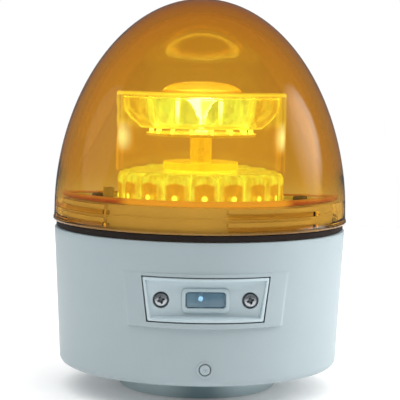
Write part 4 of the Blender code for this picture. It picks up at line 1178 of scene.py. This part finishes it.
CLEAR = 1.12  # a low index, so that the bowl's outside hardly bends what lies behind it
# Apart from led_light and led_hot, which stand for the LEDs, every glow below is painted light: emission on
# the lenses, disc, post, board, beads and slits in place of the LEDs' light passing through them.
lens_yellow = glowing("lens_yellow", (0.9, 0.70, 0.15), 0.14, 0.30, lower_lens_pattern)
disc_yellow = glowing("disc_yellow", (1.0, 0.85, 0.2), 0.15, 0.6, ((0.98, 1.0, 0.10), 0.40))
post_yellow = glowing("post_yellow", (1.0, 0.85, 0.2), 0.12, 0.7, ((1.0, 0.92, 0.10), 0.26))
lit_board = glowing("lit_board", (0.9, 0.8, 0.4), 0.4, 0.0, ((1.0, 0.58, 0.05), 0.26))
led_light = glowing("led_light", (1.0, 0.9, 0.5), 0.3, 0.0, ((1.0, 0.92, 0.35), 1.0))
led_hot = glowing("led_hot", (1.0, 0.95, 0.8), 0.3, 0.0, ((1.0, 1.0, 0.8), 2.5))
BOWL_LOOKS = [
    glowing("bowl_yellow", (1.0, 0.93, 0.60), 0.04, 0.97, bowl_pattern, CLEAR),
    glowing("bowl_well", (0.95, 1.0, 0.75), 0.06, 0.92, ((0.12, 1.0, 0.50), 0.33), CLEAR),
    glowing("bowl_hot", (1.0, 1.0, 0.9), 0.2, 0.3, hot_pattern),
    glowing("bowl_beads", (1.0, 1.0, 0.7), 0.2, 0.4, ((0.8, 1.0, 0.4), 1.3)),
    lit_board,
    glowing("bowl_rim", (1.0, 1.0, 0.7), 0.1, 0.9, rim_pattern, CLEAR),
    glowing("bowl_slits", (1.0, 1.0, 0.9), 0.2, 0.3, slit_pattern),
]

# ---------------- pieces that stand for CAD nodes


def stand_in(item, look, node, body=BASE):
    """A piece that shows in the place of a CAD node."""
    for found in look if isinstance(look, list) else [look]:
        item.data.materials.append(found)
    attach(item, body)
    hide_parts(node)


stand_in(build_housing(), looks["grey_shell"], "housing")
stand_in(build_service_cover(), looks["grey_cover"], "service_cover")
stand_in(build_window(), window_material(), "sensor_window")
for side, x in (("left", -SCREW_X), ("right", SCREW_X)):
    head = build_screw(f"cover_screw_head_{side}", 2.45 * MM, 1.7 * MM, 1.15 * MM, 5.4 * MM)
    facing_front(head, x, COVER_FACE_Y + 1 * MM - GAP, PANEL_Z)
    steels = [looks["bright_steel"], looks["painted_shade_steel"]]
    stand_in(head, steels, f"cover_screw_{side}")
    head = build_screw(f"deck_screw_head_{side}", DECK_SCREW_R, 2.5 * MM, 1.5 * MM, 13 * MM)
    spot = middle(f"deck_screw_{side}")
    moved(head, spot.x, spot.y, up(13.0))
    stand_in(head, [looks["dark_steel"]] * 2, f"deck_screw_{side}")
stand_in(build_button(), looks["grey_button"], "power_button", body="power_button")
stand_in(build_deck(), looks["deck_plastic"], "collar_deck")
stand_in(build_red_seal(), looks["red_rubber"], "collar_ring_seal")
stand_in(build_rim_seal(), looks["black_rubber"], "dome_seal", body="dome_seal")
stand_in(build_dome(), amber_material(), "dome", body="dome")
stand_in(build_lower_lens(), lens_yellow, "lower_lens")
stand_in(build_bowl(), BOWL_LOOKS, "upper_lens")
stand_in(build_disc(), disc_yellow, "platform_disc")
stand_in(build_post(), post_yellow, "led_post")
stand_in(build_shade(), shade_material(), "lens_shade")
stand_in(build_knob(), looks["white_knob"], "mode_knob", body="mode_knob")
stand_in(build_cup(), looks["plated_cup"], "magnet_cup")
stand_in(build_pad(), looks["pad_rubber"], "magnet_pad")

# ---------------- CAD nodes that stay

# They are inside the housing and under the lenses
CARRIED = {
    looks["ferrite"]: ("magnet_ring",),
    looks["bright_steel"]: (
        "magnet_bolt", "magnet_nut", "spring_contact_left", "spring_contact_right",
        "link_plate", "positive_plate", "negative_plate",
    ),
    looks["black_rubber"]: ("cover_gasket",),
    board_material("green_board", (0.02, 0.11, 0.05), (0.05, 0.22, 0.10)): (
        "sensor_board", "button_board", "main_board",
    ),
    board_material("white_board", (0.78, 0.76, 0.66), (0.70, 0.62, 0.42)): ("lower_led_board",),
    lit_board: ("upper_led_board",),
    sensor_material(): ("light_sensor",),
    looks["black_plastic"]: ("button_switch", "mode_switch", "driver_chip"),
    looks["tray_plastic"]: ("battery_tray",),
    cell_material(): ("cell_front", "cell_rear"),
    looks["capacitor_sleeve"]: ("capacitor",),
    looks["copper_coil"]: ("coil",),
    looks["red_pvc"]: ("positive_lead",),
    looks["black_pvc"]: ("negative_lead",),
    looks["white_pvc"]: ("lamp_lead", "sensor_lead", "button_lead", "mode_lead"),
    led_light: tuple(f"lower_led_{i + 1:02d}" for i in range(10)),
    led_hot: ("upper_led",),
}


def weld_and_shade():
    """Node group for the carried nodes: weld the split corners and shade the curves smooth."""
    group = bpy.data.node_groups.new("weld_and_shade", "GeometryNodeTree")
    for way in ("INPUT", "OUTPUT"):
        group.interface.new_socket("Geometry", in_out=way, socket_type="NodeSocketGeometry")
    add = group.nodes.new
    start, end = add("NodeGroupInput"), add("NodeGroupOutput")
    plain = add("GeometryNodeRemoveAttribute")
    plain.inputs["Name"].default_value = "custom_normal"
    weld = add("GeometryNodeMergeByDistance")
    weld.inputs["Distance"].default_value = 0.002 * MM
    faces, edges = add("GeometryNodeSetShadeSmooth"), add("GeometryNodeSetShadeSmooth")
    edges.domain = "EDGE"
    edges.inputs["Shade Smooth"].default_value = False
    angle = add("GeometryNodeInputMeshEdgeAngle")
    steep = add("FunctionNodeCompare")
    steep.operation = "GREATER_THAN"
    steep.inputs["B"].default_value = radians(32)
    source = start.outputs[0]
    for node in (plain, weld, faces, edges):
        group.links.new(source, node.inputs["Geometry"])
        source = node.outputs["Geometry"]
    group.links.new(angle.outputs["Unsigned Angle"], steep.inputs["A"])
    group.links.new(steep.outputs["Result"], edges.inputs["Selection"])
    group.links.new(source, end.inputs[0])
    return group


smoother = weld_and_shade()
for look, names in CARRIED.items():
    for name in names:
        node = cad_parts[name]
        node.data.materials.clear()
        node.data.materials.append(look)
        node.modifiers.new("weld_and_shade", "NODES").node_group = smoother

# ---------------- stage, light and camera


def build_floor():
    """A pale round floor just under the foot."""
    angles = even_angles(64)
    z = -0.2 * MM
    shape = bmesh.new()
    centre = shape.verts.new((0, 0, z))
    rows = [[shape.verts.new(p) for p in ring(r, z, angles)] for r in (0.2, 0.4, 0.62)]
    for i in range(len(angles)):
        k = (i + 1) % len(angles)
        shape.faces.new((centre, rows[0][i], rows[0][k]))
    for row, after in zip(rows, rows[1:]):
        for i in range(len(angles)):
            k = (i + 1) % len(angles)
            shape.faces.new((row[i], after[i], after[k], row[k]))
    floor = from_bmesh("floor", shape)
    look = moulded("pale_floor", (0.9, 0.9, 0.9), 0.6, 0.01, 400, 0.01)
    feed(shader_of(look)["Emission Color"], (1, 1, 1))
    feed(shader_of(look)["Emission Strength"], 0.12)
    floor.data.materials.append(look)


build_floor()


def build_world():
    """A plain studio, with its own level for each way of reaching it."""
    world = bpy.data.worlds.new("studio")
    scene.world = world
    world.use_nodes = True
    tree = world.node_tree
    path = tree.nodes.new("ShaderNodeLightPath").outputs
    around_level, mirrored = (0.29, 0.29, 0.29), (0.16, 0.16, 0.16)
    through, inside, behind = (0.79, 0.79, 0.79), (1.5, 1.45, 1.4), (1.0, 1.0, 1.0)
    seen = Field(tree, path["Is Glossy Ray"]).mix(around_level, mirrored)
    clear = Field(tree, path["Diffuse Depth"]).math("MINIMUM", 1.0).mix(through, inside)
    seen = Field(tree, path["Is Transmission Ray"]).mix(seen, clear)
    seen = Field(tree, path["Is Camera Ray"]).mix(seen, behind)
    feed(tree.nodes["Background"].inputs["Color"], seen)


build_world()
CENTRE = Vector((0, 0, 0.075))  # where the lights point, about the middle of the beacon


def softbox(name, shape, spot, size, power):
    lamp = bpy.data.lights.new(name, "AREA")
    lamp.shape = shape
    lamp.size, lamp.size_y = size
    lamp.energy = power
    item = add_object(name, lamp)
    item.location = spot
    item.rotation_euler = (CENTRE - Vector(spot)).to_track_quat("-Z", "Y").to_euler()
    return item


# The dome's glints: nested ovals that add up to a soft edge, seen only in reflections
GLINT_STEPS = 8
GLINT_POWER = 1.0  # watts per square metre of each oval
for side, steps, away in (("right", GLINT_STEPS, 0.60), ("left", 1, -0.60)):
    for i in range(steps):
        share = i / GLINT_STEPS
        size = (0.40 - 0.24 * share, 0.42 - 0.22 * share)
        spot = (away, 0.05 + 0.08 * share, 0.28 + 0.02 * share)
        power = GLINT_POWER * pi / 4 * size[0] * size[1]
        softbox(f"glint_{side}_{i + 1}", "ELLIPSE", spot, size, power).visible_diffuse = False

# General light, left out of reflections and of what is seen through the dome
for name, spot, size, power in (
    ("right_fill", (0.64, -0.02, 0.30), (0.30, 0.46), 3.8),
    ("left_fill", (-0.64, 0.0, 0.30), (0.30, 0.46), 0.95),
    ("top_box", (0.0, -0.05, 1.0), (2.0, 2.0), 22.0),
):
    fill = softbox(name, "RECTANGLE", spot, size, power)
    fill.visible_glossy = False
    fill.visible_transmission = False

scene.view_settings.view_transform = "Standard"

AZIMUTH, ELEVATION, ROLL = radians(-3.0), radians(5.3), radians(1.0)
CAMERA_AWAY = 0.653
camera_data = bpy.data.cameras.new("camera")
camera_data.lens = 143.8
camera_data.clip_start = 0.01
camera = add_object("camera", camera_data)
back = Vector((sin(AZIMUTH) * cos(ELEVATION), -cos(AZIMUTH) * cos(ELEVATION), sin(ELEVATION)))
camera.location = Vector((0, 0, up(10.7))) + back * CAMERA_AWAY
camera.rotation_mode = "QUATERNION"
level = (-back).to_track_quat("-Z", "Y")
camera.rotation_quaternion = level @ Matrix.Rotation(ROLL, 3, "Z").to_quaternion()
scene.camera = camera
